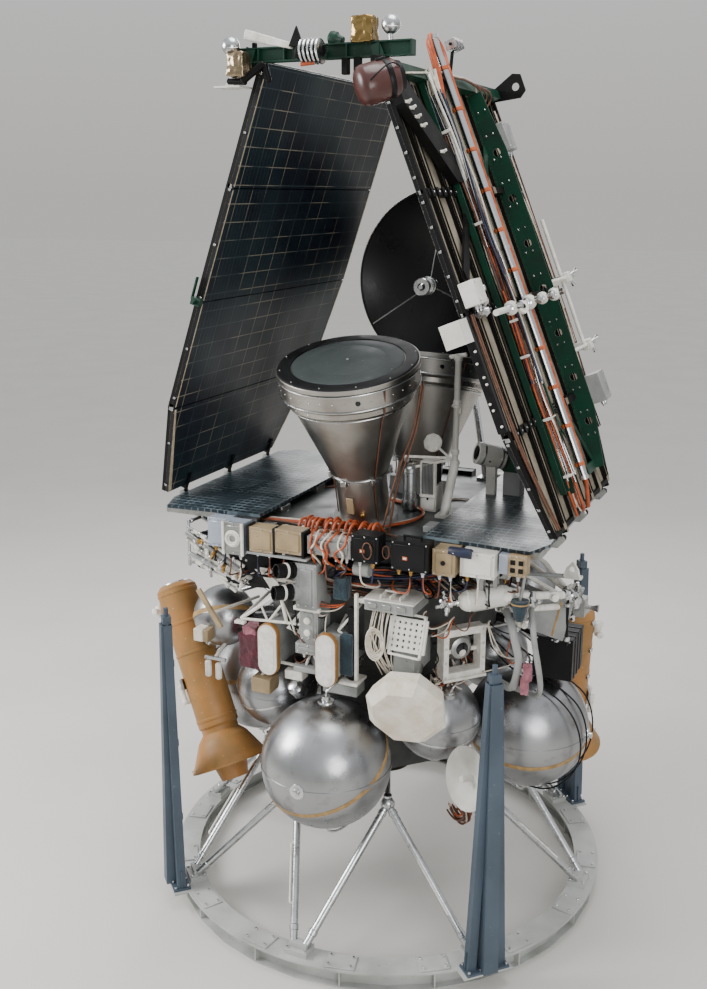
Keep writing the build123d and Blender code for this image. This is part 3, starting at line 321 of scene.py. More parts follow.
def make_finishes(paints, sizes):
    """Every finish, named for the real material."""
    return {
        # Satin enamel on a welded steel ring: pale grey, scuffed by boots and jacks
        "ring_paint": coated("satin enamel on steel", paints.ring, "#8f908c", 0.42, 0.35, "#6e6a62"),
        # Drawn aluminium tube: bright, with soft lengthwise sheen
        "strut_metal": bright("drawn aluminium tube", "#bfc1c2", "#8f8d88", 0.20, 0.38, 0.12),
        # Workshop paint on angle iron: blue-grey, dull and rubbed
        "post_paint": coated("blue-grey shop paint on steel", "#44525f", "#36414c", 0.5, 0.5, "#6d7880"),
        # Heat shield cloth painted dark; the dark tone also stands as painted shade where it hides between
        # the tanks
        "core_paint": coated("dark heat-resistant paint", "#3b3c3b", "#252625", 0.6, 0.2, "#59564f"),
        # Half polished aluminium-alloy shells: cloudy grey with brown handling stains
        "tank_skin": bright("half polished aluminium alloy", "#a1a2a4", "#6f675d", 0.22, 0.44, 0.30),
        # Niobium alloy after firing: brown-grey and dull
        "engine_metal": bright("heat-toned niobium alloy", "#6f655b", "#3b3330", 0.3, 0.5, 0.1),
        # Enamel on the ring-shaped hull: grey with soiled patches, the whole tone painted darker as painted
        # shade under the boxes
        "bus_paint": coated("grey enamel on aluminium", "#454744", "#262726", 0.5, 0.2, "#6d6b66"),
        # Milled brackets: bright but fine-scratched
        "alloy": bright("machined aluminium", "#a8a9a7", "#76736c", 0.3, 0.5, 0.1),
        # Zinc-oxide enamel: chalky white that yellows a little
        "white_paint": coated("white thermal enamel", "#e0dfd8", "#c3bfb4", 0.4, 0.2, "#9b968b"),
        # Carbon-black enamel: a soft dark that takes no highlight
        "black_paint": coated("matt black thermal enamel", "#0b0b0c", "#171718", 0.45, 0.2, ior=1.3),
        # Primer left without a top coat: warm tan, patchy
        "tan_paint": coated("tan primer on aluminium", "#a38e6c", "#826f52", 0.55, 0.15, "#4a3f31"),
        # Silvered film round boxes: white-blue, sharply creased, with painted shade in the folds
        "wrap_foil": crinkled("wrapped silvered film", "#dadde2", "#a3abb8", 0.25, 0.38, 0.02),
        "grey_paint": coated("mid grey enamel", "#9b9d9b", "#777976", 0.45, 0.2, "#4c4b48"),
        # Ochre heat paint on the probes: orange-brown, darker where hands held it
        "ochre_paint": coated("ochre thermal paint", "#a8733a", "#7d6233", 0.5, 0.25, "#c7a471"),
        # Rolled sheet: silvery with soft round-the-cone brushing
        "capsule_skin": bright(
            "rolled aluminium sheet", "#aaa6a0", "#7b7167", 0.24, 0.44, 0.4, (1, 1, 0.15), 0.45,
        ),
        # Blanket cloth on the lids: grey-green with pale specks
        "lid_green": coated("grey-green thermal blanket", "#39403f", "#282e2e", 0.5, 0.25, "#8d8a76", 0.02),
        # Carbon laminate of the dish: black and faintly glossy
        "dish_black": coated("black carbon laminate", "#050507", "#0b0b10", 0.28, 0.4, ior=1.4),
        # A low index keeps a matt black black under wide light
        "frame_black": coated("black anodised aluminium", "#070708", "#0f0f0d", 0.5, 0.2, ior=1.25),
        # Chromate-green primer on the girders: deep and slightly glossy
        "girder_green": coated("deep green primer", "#0f3a2a", "#0a2419", 0.42, 0.2, "#4d6156", ior=1.4),
        # Gold-toned film: warm metal with many small creases, with painted shade in the folds
        "foil_gold": crinkled("gold-toned foil", "#d9c79f", "#8d7548", 0.92, 0.24, 0.045),
        # The lower packet is wrapped in paler, champagne-coloured foil, also with painted shade in the folds
        "foil_pale": crinkled("champagne-toned foil", "#d6cbb8", "#93836a", 0.90, 0.26, 0.045),
        # Stoving enamel on the sensor pot: dark red-brown with a clear highlight
        "pot_brown": coated("brown gloss enamel", "#54302b", "#301a18", 0.3, 0.2),
        # Stainless fittings: bright points all over the craft
        "steel": bright("stainless steel fittings", "#cfd0d0", "#a09c94", 0.16, 0.34, 0.06),
        # Moulded white plastic: clips, sleeves and covers
        "clip_white": sleeved("moulded white plastic", "#e9e6df", "#cfcabd", 0.35),
        "wire_white": sleeved("white wire insulation", "#ddd6c8", "#b9ae9b"),
        "wire_orange": sleeved("orange wire insulation", "#b9552a", "#8f3f1e"),
        "wire_brown": sleeved("brown wire insulation", "#6d452f", "#4b2f20"),
        "wire_blue": sleeved("dark blue wire insulation", "#1a2340", "#12172b"),
        "wire_black": sleeved("black wire insulation", "#0b0b0d", "#161618", 0.4, 1.3),
        # Adhesive tapes: tan on the tanks, orange round the long tube
        "tape_tan": sleeved("tan cloth tape", "#ab8a58", "#876a40", 0.6),
        "tape_orange": sleeved("orange binding tape", "#c0602f", "#9a4a22", 0.5),
        # Cover cloths: cream over the dish, maroon and teal over instruments
        "cream_cloth": woven("cream cover cloth", "#e6dfd2", "#cdbfa9", 0.05),
        "maroon_cloth": woven("maroon cover cloth", "#5a1f2c", "#3d141d", 0.04),
        "teal_cloth": woven("blue-green cover cloth", "#1c353e", "#11232b", 0.04),
        # Faded pink wrapping cloth that shows beside the pipes and on the dark bag
        "pink_cloth": woven("faded pink wrapping cloth", "#a86a76", "#7c4650", 0.04),
        # Coated optics: black glass with a clear reflection
        "lens_glass": sleeved("dark lens glass", "#07080b", "#0d1016", 0.06),
        # Rolled and polished tube, cleaner than the fittings
        "tube_metal": bright("polished aluminium tube", "#c6c7c9", "#a5a4a0", 0.2, 0.34, 0.4, (1, 1, 0.2)),
        # Primed sheet of the deck: dark grey-green, scuffed by boots and tools
        "deck_sheet": coated("primed aluminium sheet", "#363c3a", "#252928", 0.45, 0.2, "#666b67"),
        # Pale strip that paints the light caught on the side edges of the cells: warm off-white, a painted
        # highlight
        "lit_edge_strip": sleeved("pale strip of painted edge highlight", "#c2b399", "#9f9076", 0.5),
        "brass": bright("brass connectors", "#b48b4c", "#80602f", 0.25, 0.4, 0.05),
    }


def deselect():
    """Nothing stays selected, so the next operator acts on its own piece only."""
    for item in bpy.context.selected_objects:
        item.select_set(False)


def pick(*pieces):
    """Select these pieces and no others, the last one active."""
    deselect()
    for piece in pieces:
        piece.select_set(True)
    bpy.context.view_layer.objects.active = pieces[-1]


def coat(piece, finish):
    """Give a part its finish, if one is named."""
    if finish:
        piece.data.materials.clear()
        piece.data.materials.append(FINISHES[finish])
    return piece


def coat_all(parts, finish):
    """Give several parts one finish."""
    for part in parts:
        coat(part, finish)
    return parts


def bar(low, high, bevel=0.003, finish=None):
    """A block between two corners with bevelled edges."""
    deselect()
    low, high = Vector(low), Vector(high)
    bpy.ops.mesh.primitive_cube_add(size=1, location=(low + high) / 2, scale=high - low)
    bpy.ops.object.transform_apply()
    bpy.ops.object.mode_set(mode="EDIT")
    bpy.ops.mesh.select_all(action="SELECT")
    bpy.ops.mesh.bevel(offset=bevel, segments=1, affect="EDGES")
    bpy.ops.object.mode_set(mode="OBJECT")
    return coat(bpy.context.object, finish)


def turned(rings, sides=24, finish=None):
    """A shape turned around +Z from (radius, height) rings, closed at both ends."""
    deselect()
    radius, height = rings[0]
    bpy.ops.mesh.primitive_circle_add(
        vertices=sides, radius=radius, fill_type="NGON", location=(0, 0, height),
    )
    bpy.ops.object.transform_apply()
    bpy.ops.object.mode_set(mode="EDIT")
    bpy.ops.mesh.select_mode(type="FACE")
    bpy.ops.mesh.select_all(action="SELECT")
    for (before, low), (after, top) in zip(rings, rings[1:]):
        bpy.ops.mesh.extrude_region_move(TRANSFORM_OT_translate={"value": (0, 0, top - low)})
        share = after / before
        bpy.ops.transform.resize(value=(share, share, 1), center_override=(0, 0, top))
    bpy.ops.mesh.select_all(action="SELECT")
    bpy.ops.mesh.remove_doubles(threshold=DOUBLES)
    bpy.ops.mesh.normals_make_consistent(inside=False)
    bpy.ops.object.mode_set(mode="OBJECT")
    return coat(bpy.context.object, finish)


def torus(radius, thick, sides, height, round_sides=8):
    """A round bead at a height over the origin."""
    deselect()
    bpy.ops.mesh.primitive_torus_add(
        major_radius=radius, minor_radius=thick, major_segments=sides, minor_segments=round_sides,
        location=(0, 0, height),
    )
    bpy.ops.object.transform_apply()
    return bpy.context.object


def facing(at, towards=(0, 0, 1), roll=0.0):
    """Matrix that puts a shape at a place with its +Z towards a direction."""
    turn = Vector(towards).to_track_quat("Z", "Y").to_matrix().to_4x4()
    return Matrix.Translation(at) @ turn @ Matrix.Rotation(roll, 4, "Z")


def aim(piece, at, towards=(0, 0, 1), roll=0.0):
    """Turn a piece's +Z towards a direction, move it there and keep that in its mesh."""
    piece.data.transform(facing(at, towards, roll))
    return piece


def rod(start, end, radius, sides=12, finish=None):
    """A round bar with broken end edges."""
    way = Vector(end) - Vector(start)
    edge = min(radius * 0.3, way.length * 0.2)
    far = way.length
    rings = ((radius - edge, 0), (radius, edge), (radius, far - edge), (radius - edge, far))
    return aim(turned(rings, sides, finish), start, way)


def struts(sides, finish, *rows):
    """Round bars from rows of both ends and the radius, in millimetres."""
    made = []
    for row in rows:
        *ends, radius = [length / 1000 for length in row]
        made.append(rod(ends[:3], ends[3:], radius, sides, finish))
    return made


def fitting(rings, sides, at, towards, finish):
    """A turned part with its finish, put at a place with its +Z towards a direction."""
    return aim(turned(rings, sides, finish), at, towards)


def again(piece, place):
    """A copy with its own mesh, moved by a matrix."""
    twin = piece.copy()
    twin.data = piece.data.copy()
    twin.data.transform(place)
    if place.determinant() < 0:
        twin.data.flip_normals()
    bpy.context.scene.collection.objects.link(twin)
    return twin


def spun(azimuth):
    """A turn around the craft's upright axis, in degrees."""
    return Matrix.Rotation(math.radians(azimuth), 4, "Z")


def to(x, y, z):
    """A move without a turn."""
    return Matrix.Translation((x, y, z))


def moved(part, place):
    """A part moved by a matrix, which its mesh keeps."""
    part.data.transform(place)
    return part


def move_all(parts, place):
    """Several parts moved by one matrix."""
    return [moved(part, place) for part in parts]


def finished(parts, name, body, slot, *replaced):
    """Join a piece's parts, name it and fasten it to its body."""
    pick(*parts)
    if len(parts) > 1:
        bpy.ops.object.join()
    piece = bpy.context.object
    piece.name = name
    bpy.ops.object.shade_smooth_by_angle(angle=SMOOTH_ANGLE)
    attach(piece, body)
    if replaced:
        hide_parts(*replaced)
    return piece


def wires(name, body, finish, radius, runs):
    """Fixed wires or pipes of one colour, each a smooth run through its points."""
    curve = bpy.data.curves.new(name, "CURVE")
    curve.dimensions = "3D"
    curve.bevel_depth = radius
    curve.bevel_resolution = 1
    curve.resolution_u = 5
    curve.use_fill_caps = True
    for points in runs:
        spline = curve.splines.new("NURBS")
        spline.points.add(len(points) - 1)
        for point, place in zip(spline.points, points):
            point.co = (*place, 1.0)
        spline.order_u = 3
        spline.use_endpoint_u = True
    piece = bpy.data.objects.new(name, curve)
    bpy.context.scene.collection.objects.link(piece)
    curve.materials.append(FINISHES[finish])
    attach(piece, body)
    return piece


def loom(points, count, spread, luck):
    """Several wires that wander side by side along one path."""
    runs = []
    for _ in range(count):
        lean = Vector([luck.uniform(-spread, spread) for _ in range(3)])
        run = []
        for point in points:
            stray = Vector([luck.uniform(-spread, spread) for _ in range(3)])
            run.append(Vector(point) + lean + stray * 0.5)
        runs.append(run)
    return runs


def wing_place(side):
    """Matrix from a wing's own measures (up, back, out) to the craft."""
    sign = -1 if side == "left" else 1
    lean = WING_LEANS[side]
    s, c = math.sin(lean), math.cos(lean)
    return Matrix(((-sign * s, 0, sign * c, sign * HINGE_X), (0, 1, 0, 0), (c, 0, s, HINGE_Z), (0, 0, 0, 1)))


def on_wing(side, parts):
    """Move parts drawn in a wing's own measures onto that wing."""
    place = wing_place(side)
    for part in parts:
        part.data.transform(place)
        if place.determinant() < 0:
            part.data.flip_normals()
    return parts


def wing_runs(side, runs):
    """Move wire runs drawn in a wing's own measures onto that wing."""
    place = wing_place(side)
    return [[place @ Vector(point) for point in run] for run in runs]


class StageSettings(bpy.types.PropertyGroup):
    """The room around the craft."""

    floor_colour: FloatVectorProperty(
        name="Floor", description="Colour of the floor", subtype="COLOR", size=4, min=0, max=1,
        default=linear("#cfccc6"),
    )
    key_power: FloatProperty(
        name="Key light", description="Power of the large soft light at the left", default=1300.0, min=0,
        unit="POWER",
    )


class SizeSettings(bpy.types.PropertyGroup):
    """Sizes that repeat over the craft."""

    cell_row: FloatProperty(
        name="Cell row", description="Height of a row of cells on a wing", default=0.143, min=0.02,
        unit="LENGTH",
    )
    cell_column: FloatProperty(
        name="Cell column", description="Width of a column of cells on a wing", default=0.215, min=0.02,
        unit="LENGTH",
    )


class PaintSettings(bpy.types.PropertyGroup):
    """Colours that a user may change."""

    ring: FloatVectorProperty(
        name="Ring", description="Enamel of the stand's ring", subtype="COLOR", size=4, min=0, max=1,
        default=linear("#b3b5b1"),
    )


class PROBE_OT_stage(bpy.types.Operator):
    """Set up the floor, the soft lights, the pale surroundings and the camera"""

    bl_idname = "probe.stage"
    bl_label = "Stage"

    def execute(self, context):
        settings = context.scene.probe_stage
        deselect()
        bpy.ops.mesh.primitive_plane_add(size=240)
        floor = context.object
        floor.name = "stage_floor"
        material, tree, shader, place = blank("smooth pale concrete floor")
        dust = spots(tree, place, 1.6, 0.35, 0.7, 5.0)
        pale = settings.floor_colour
        colour = blend_colour(tree, dust, pale, [0.94 * c for c in pale[:3]] + [1.0])
        tree.links.new(colour, shader.inputs["Base Color"])
        shader.inputs["Roughness"].default_value = 0.7
        floor.data.materials.append(material)

        lights = (
            # name, where, what it looks at, size, power
            ("key", (-8.5, -5.0, 7.5), (0, 0, 3.4), 5.0, settings.key_power),
            ("fill", (7.0, -8.5, 5.0), (0, 0, 2.6), 5.0, 430.0),
            ("top", (1.5, -1.0, 13.0), (0, 0, 0), 6.0, 600.0),
            ("back", (-3.0, 9.0, 8.0), (0, 0, 4.0), 6.0, 420.0),
        )
        for name, where, target, size, power in lights:
            data = bpy.data.lights.new(name, "AREA")
            data.shape = "DISK"
            data.size = size
            data.energy = power
            lamp = bpy.data.objects.new(name, data)
            lamp.location = where
            lamp.rotation_euler = (Vector(target) - Vector(where)).to_track_quat("-Z", "Y").to_euler()
            context.scene.collection.objects.link(lamp)

        world = bpy.data.worlds.new("soft hall light")
        world.use_nodes = True
        tree = world.node_tree
        tree.nodes.clear()
        way = add(tree, "TexCoord").outputs["Generated"]
        height = add(tree, "SeparateXYZ", {0: way}).outputs["Z"]
        share = add(tree, "MapRange", {"Value": height, "From Min": 0.0, "From Max": 0.5}).outputs[0]
        tone = blend_colour(tree, share, linear("#c3c1bd"), linear("#f2f4f7"))
        sky = add(tree, "Background", {"Color": tone, "Strength": 1.0})
        add(tree, "OutputWorld", {"Surface": sky.outputs[0]})
        context.scene.world = world

        data = bpy.data.cameras.new("photo camera")
        data.lens = 40.15
        data.sensor_width = 36.0
        data.clip_end = 200.0
        camera = bpy.data.objects.new("photo camera", data)
        camera.location = (3.459, -8.531, 6.0)
        camera.rotation_euler = (math.radians(74.8), 0, math.radians(24.0))
        context.scene.collection.objects.link(camera)
        context.scene.camera = camera
        return {"FINISHED"}


FINISHES = {}


class PROBE_OT_finishes(bpy.types.Operator):
    """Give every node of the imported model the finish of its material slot"""

    bl_idname = "probe.finishes"
    bl_label = "Node finishes"

    def execute(self, context):
        sizes = context.scene.probe_sizes
        FINISHES.update(make_finishes(context.scene.probe_paints, sizes))
        FINISHES["left cells"] = solar_cells("left", sizes)
        FINISHES["right cells"] = solar_cells("right", sizes)
        FINISHES["left frame"] = wing_frame_skin("left")
        FINISHES["right frame"] = wing_frame_skin("right")
        FINISHES["panel cells"] = panel_cells()
        special = {
            "left_wing_panels": "left cells", "right_wing_panels": "right cells",
            "side_panels": "panel cells", "right_wing_tube": "tube_metal", "blanket_dish": "cream_cloth",
            "right_wing_diagonal": "frame_black", "square_frame": "clip_white", "deck_pole": "white_paint",
            "deck_camera": "white_paint", "right_wing_rod": "clip_white", "deck": "deck_sheet",
            "left_wing_frame": "left frame", "right_wing_frame": "right frame",
        }
        slots = {item["node"]: item["material_slot"] for item in frame["record"]["subparts"]}
        for name, node in frame["nodes"].items():
            finish = special.get(name) or slots[name]
            node.data.materials.clear()
            node.data.materials.append(FINISHES[finish])
        return {"FINISHED"}


def polar(radius, azimuth, height):
    """A point around the craft's upright axis."""
    turn = math.radians(azimuth)
    return Vector((radius * math.cos(turn), radius * math.sin(turn), height))


def hex_bolt(radius=0.011, height=0.014):
    """A hexagon bolt head standing on z = 0."""
    return turned(((radius * 0.97, 0), (radius, height * 0.75), (radius * 0.75, height)), 6)


def bolt(at, towards, radius, height, finish):
    """A hexagon bolt head at a place, with its top towards a direction."""
    return aim(coat(hex_bolt(radius, height), finish), at, towards)


def spread(pattern, places):
    """Copies of a pattern at each matrix; the pattern itself goes to the first."""
    copies = [again(pattern, place) for place in places[1:]]
    pattern.data.transform(places[0])
    return [pattern] + copies


def zone(radius, low, high, sides=48):
    """A thin band round a ball, between two heights over its middle."""
    steps = [low + (high - low) * k / 4 for k in range(5)]
    rings = [(math.sqrt(radius ** 2 - h ** 2), h) for h in steps]
    return turned(rings, sides)


def collar(start, end, share, radius, length, sides=16, finish=None):
    """A sleeve round a rod, at a share of its length."""
    start, way = Vector(start), Vector(end) - Vector(start)
    half = length / 2 / way.length
    return rod(start + way * (share - half), start + way * (share + half), radius, sides, finish)


def post_casings(azimuth):
    """The folded sheet legs of one post: a broad middle column and two narrower legs that lean into it."""
    parts = []
    low, top = 0.196, 2.59
    # Foot x and y, head x and y, half width at the foot and at the head, length of the leg
    for x0, y0, x1, y1, foot, head in (
        (0.05, 0, 0.006, 0, 0.062, 0.046),
        (0.0, 0.128, 0.0, 0.022, 0.036, 0.035),
        (0.0, -0.128, 0.0, -0.022, 0.036, 0.035),
    ):
        leg = bar((-1, -1, low), (1, 1, top), 0.004)
        for vertex in leg.data.vertices:
            share = (vertex.co.z - low) / (top - low)
            half = foot + (head - foot) * share
            vertex.co.x = vertex.co.x * half + x0 + (x1 - x0) * share
            vertex.co.y = vertex.co.y * half + y0 + (y1 - y0) * share
        leg.data.transform(spun(azimuth) @ to(POST_RADIUS, 0, 0))
        parts.append(coat(leg, "post_paint"))
    return parts


class PROBE_OT_stand_fittings(bpy.types.Operator):
    """Bolt the ring's joint plates, sleeve the struts' ends and bolt down the posts"""

    bl_idname = "probe.stand_fittings"
    bl_label = "Stand fittings"

    def execute(self, context):
        plates = spread(
            bar((-0.085, -0.12, 0), (0.085, 0.12, 0.012), 0.003),
            [spun(11.25 + 22.5 * k) @ to(JOINT_RADIUS, 0, RING_TOP) for k in range(16)],
        )
        bolt_places = []
        for k in range(16):
            for x in (-0.055, 0.055):
                for y in (-0.09, 0.09):
                    place = to(JOINT_RADIUS + x, y, RING_TOP + 0.012)
                    bolt_places.append(spun(11.25 + 22.5 * k) @ place)
        bolts = spread(hex_bolt(), bolt_places)
        shoe_bolts = []
        for k in range(8):
            for x in (-0.055, 0.055):
                for y in (-0.08, 0.08):
                    place = to(STRUT_FOOT_RADIUS + x, y, RING_TOP + 0.044)
                    shoe_bolts.append(spun(45 * k) @ place)
        bolts += spread(hex_bolt(0.013, 0.016), shoe_bolts)
        coat_all(plates, "ring_paint")
        coat_all(bolts, "steel")
        finished(plates + bolts, "ring_joint_plates", "craft", "ring_paint")

        sleeves = []
        white = []
        for k in range(8):
            for side in (-1, 1):
                # The two struts of a shoe stand 52 mm to each side of its middle
                turn = math.degrees(0.052 / STRUT_FOOT_RADIUS)
                foot = polar(STRUT_FOOT_RADIUS, 45 * k + side * turn, 0.242)
                head = polar(STRUT_HEAD_RADIUS, 45 * k + side * 22.5, 1.15)
                for share, radius, length in ((0.09, 0.037, 0.06), (0.93, 0.037, 0.05), (0.88, 0.034, 0.03)):
                    sleeves.append(collar(foot, head, share, radius, length))
                outwards = polar(1, 45 * k + side * 22.5, 0) * 0.055
                way = head - foot
                white.append([
                    foot + way * 0.24, foot + way * 0.25 + outwards, foot + way * 0.27 + outwards,
                    foot + way * 0.6 + outwards, foot + way * 0.62 + outwards, foot + way * 0.63,
                ])
            eye = turned(((0.02, 0), (0.034, 0.004), (0.034, 0.022), (0.02, 0.026)), 16)
            sleeves.append(aim(eye, polar(STRUT_HEAD_RADIUS, 45 * k + 22.5, 1.208)))
        coat_all(sleeves, "strut_metal")
        finished(sleeves, "strut_sleeves", "craft", "strut_metal")
        wires("strut_rails", "craft", "clip_white", 0.009, white[::2])

        posts = []
        for azimuth in DIAGONALS:
            places = []
            posts += post_casings(azimuth)
            for x in (-0.055, 0.055):
                places += [spun(azimuth) @ to(POST_RADIUS + x, y, 0.2) for y in (-0.16, -0.06, 0.06, 0.16)]
            nuts = spread(hex_bolt(0.012, 0.02), places)
            coat_all(nuts, "steel")
            gussets = []
            for side in (-1, 1):
                gussets.append(moved(
                    bar((-0.006, -0.05, 0), (0.006, 0.05, 0.16), 0.002),
                    spun(azimuth) @ to(POST_RADIUS, side * 0.125, 0.2),
                ))
            # The ties get shorter upwards, as the legs lean together
            for z in (0.86, 1.54, 2.25):
                half = 0.13 - 0.118 * (z - RING_TOP) / 2.42
                gussets.append(moved(
                    bar((-0.02, -half - 0.02, -0.03), (-0.012, half + 0.02, 0.03), 0.002),
                    spun(azimuth) @ to(1.96, 0, z),
                ))
            coat_all(gussets, "post_paint")
            posts += nuts + gussets
        finished(posts, "post_plates", "craft", "post_paint")
        return {"FINISHED"}


class PROBE_OT_tank_fittings(bpy.types.Operator):
    """Tape bands, outlet flanges, bosses, pipes and cables on the tanks"""

    bl_idname = "probe.tank_fittings"
    bl_label = "Tank fittings"

    def execute(self, context):
        bands = []
        for azimuth, tilt in (
            (270, (-0.2, -0.44, 0.87)), (0, (0.1, -0.3, 0.95)), (90, (0.2, 0.3, 0.9)),
            (180, (-0.2, 0.2, 0.95)),
        ):
            band = zone(0.5275, -0.019, 0.019, 56)
            bands.append(aim(band, polar(TANK_RADIUS, azimuth, TANK_HEIGHT), tilt))
        for azimuth in SERVICE_AZIMUTHS:
            band = zone(0.2715, -0.021, 0.021, 40)
            tilt = spun(azimuth) @ Vector((0, -0.574, 0.819))
            bands.append(aim(band, polar(SERVICE_TANK_RADIUS, azimuth, SERVICE_TANK_HEIGHT), tilt))
        coat_all(bands, "tape_tan")
        finished(bands, "tank_tapes", "craft", "tank_skin")

        metal = []
        for azimuth in QUARTERS:
            centre = polar(TANK_RADIUS, azimuth, TANK_HEIGHT)
            flange = turned((
                (0.075, -0.028), (0.085, -0.022), (0.085, 0.0), (0.06, 0.006), (0.055, 0.03),
            ), 20)
            metal.append(aim(flange, centre + Vector((0, 0, -0.556)), (0, 0, -1)))
            outer = turned(((0.062, 0.518), (0.06, 0.532), (0.03, 0.536), (0.028, 0.56), (0.018, 0.564)), 20)
            metal.append(aim(outer, centre, polar(1, azimuth, 0)))
            crown = turned((
                (0.07, 0.516), (0.065, 0.532), (0.036, 0.536), (0.034, 0.572), (0.02, 0.575),
            ), 20)
            metal.append(aim(crown, centre))
        for azimuth in DIAGONALS:
            centre = polar(SMALL_TANK_RADIUS, azimuth, SMALL_TANK_HEIGHT)
            crown = turned((
                (0.055, 0.342), (0.052, 0.356), (0.028, 0.36), (0.026, 0.386), (0.015, 0.39),
            ), 16)
            metal.append(aim(crown, centre, polar(0.6, azimuth, 0.8)))
            seam = zone(0.3525, -0.008, 0.008, 40)
            metal.append(aim(seam, centre, polar(0.35, azimuth, 0.94)))
        for azimuth in SERVICE_AZIMUTHS:
            centre = polar(SERVICE_TANK_RADIUS, azimuth, SERVICE_TANK_HEIGHT)
            crown = turned(((0.05, 0.258), (0.047, 0.27), (0.026, 0.273), (0.024, 0.3), (0.014, 0.303)), 16)
            metal.append(aim(crown, centre, polar(0.5, azimuth, -0.86)))
        coat_all(metal, "steel")
        finished(metal, "tank_bosses", "craft", "tank_skin")

        pipes = []
        for azimuth in QUARTERS:
            low = polar(TANK_RADIUS, azimuth, 1.01)
            pipes.append([
                low, low + Vector((0, 0, -0.06)), polar(1.2, azimuth + 4, 0.93),
                polar(0.95, azimuth + 10, 0.99), polar(0.7, azimuth + 12, 1.16),
                polar(0.56, azimuth + 12, 1.26),
            ])
            top = polar(TANK_RADIUS, azimuth, 2.17)
            pipes.append([
                top, top + Vector((0, 0, 0.05)), polar(1.22, azimuth + 3, 2.26),
                polar(1.0, azimuth + 8, 2.3), polar(0.85, azimuth + 9, 2.36),
            ])
        for azimuth in DIAGONALS:
            start = polar(SMALL_TANK_RADIUS, azimuth, SMALL_TANK_HEIGHT) + polar(0.6, azimuth, 0.8) * 0.385
            pipes.append([
                start, start + polar(0.04, azimuth, 0.06), polar(1.2, azimuth + 8, 2.31),
                polar(1.02, azimuth + 12, 2.38), polar(0.9, azimuth + 12, 2.42),
            ])
        wires("tank_pipes", "craft", "steel", 0.01, pipes)
        luck = random.Random(5)
        cables = []
        for azimuth, sweep in ((0, -1), (0, -0.4), (0, 0.5), (90, 0.3), (180, 0.6), (180, -0.5)):
            cables.append([
                polar(1.02, azimuth + 10 * sweep, 2.34), polar(1.16, azimuth + 12 * sweep, 2.24),
                polar(1.36, azimuth + 11 * sweep, 2.14), polar(1.62, azimuth + 9 * sweep, 2.02),
                polar(1.8, azimuth + 9 * sweep, 1.8 + 0.1 * luck.random()),
                polar(1.86, azimuth + 8 * sweep, 1.58), polar(1.78, azimuth + 7 * sweep, 1.3),
                polar(1.5, azimuth + 6 * sweep, 1.04), polar(1.2, azimuth + 4 * sweep, 1.1),
            ])
        wires("tank_cables", "craft", "wire_black", 0.007, cables)
        return {"FINISHED"}


CAPSULES = (
    # side in Y, neck height
    (-1, 0.430),
    (1, 0.200),
)


def capsule_place(side):
    """Matrix of a capsule's own upright axes."""
    return to(0.04, side * 0.6, 3.45) @ Matrix.Rotation(math.radians(-15 * side), 4, "X")


def cone_radius(height, neck):
    """Radius of a capsule's cone at a height over its base."""
    low, high = neck + 0.025, neck + 0.68
    return 0.228 + (0.47 - 0.228) * (height - low) / (high - low)


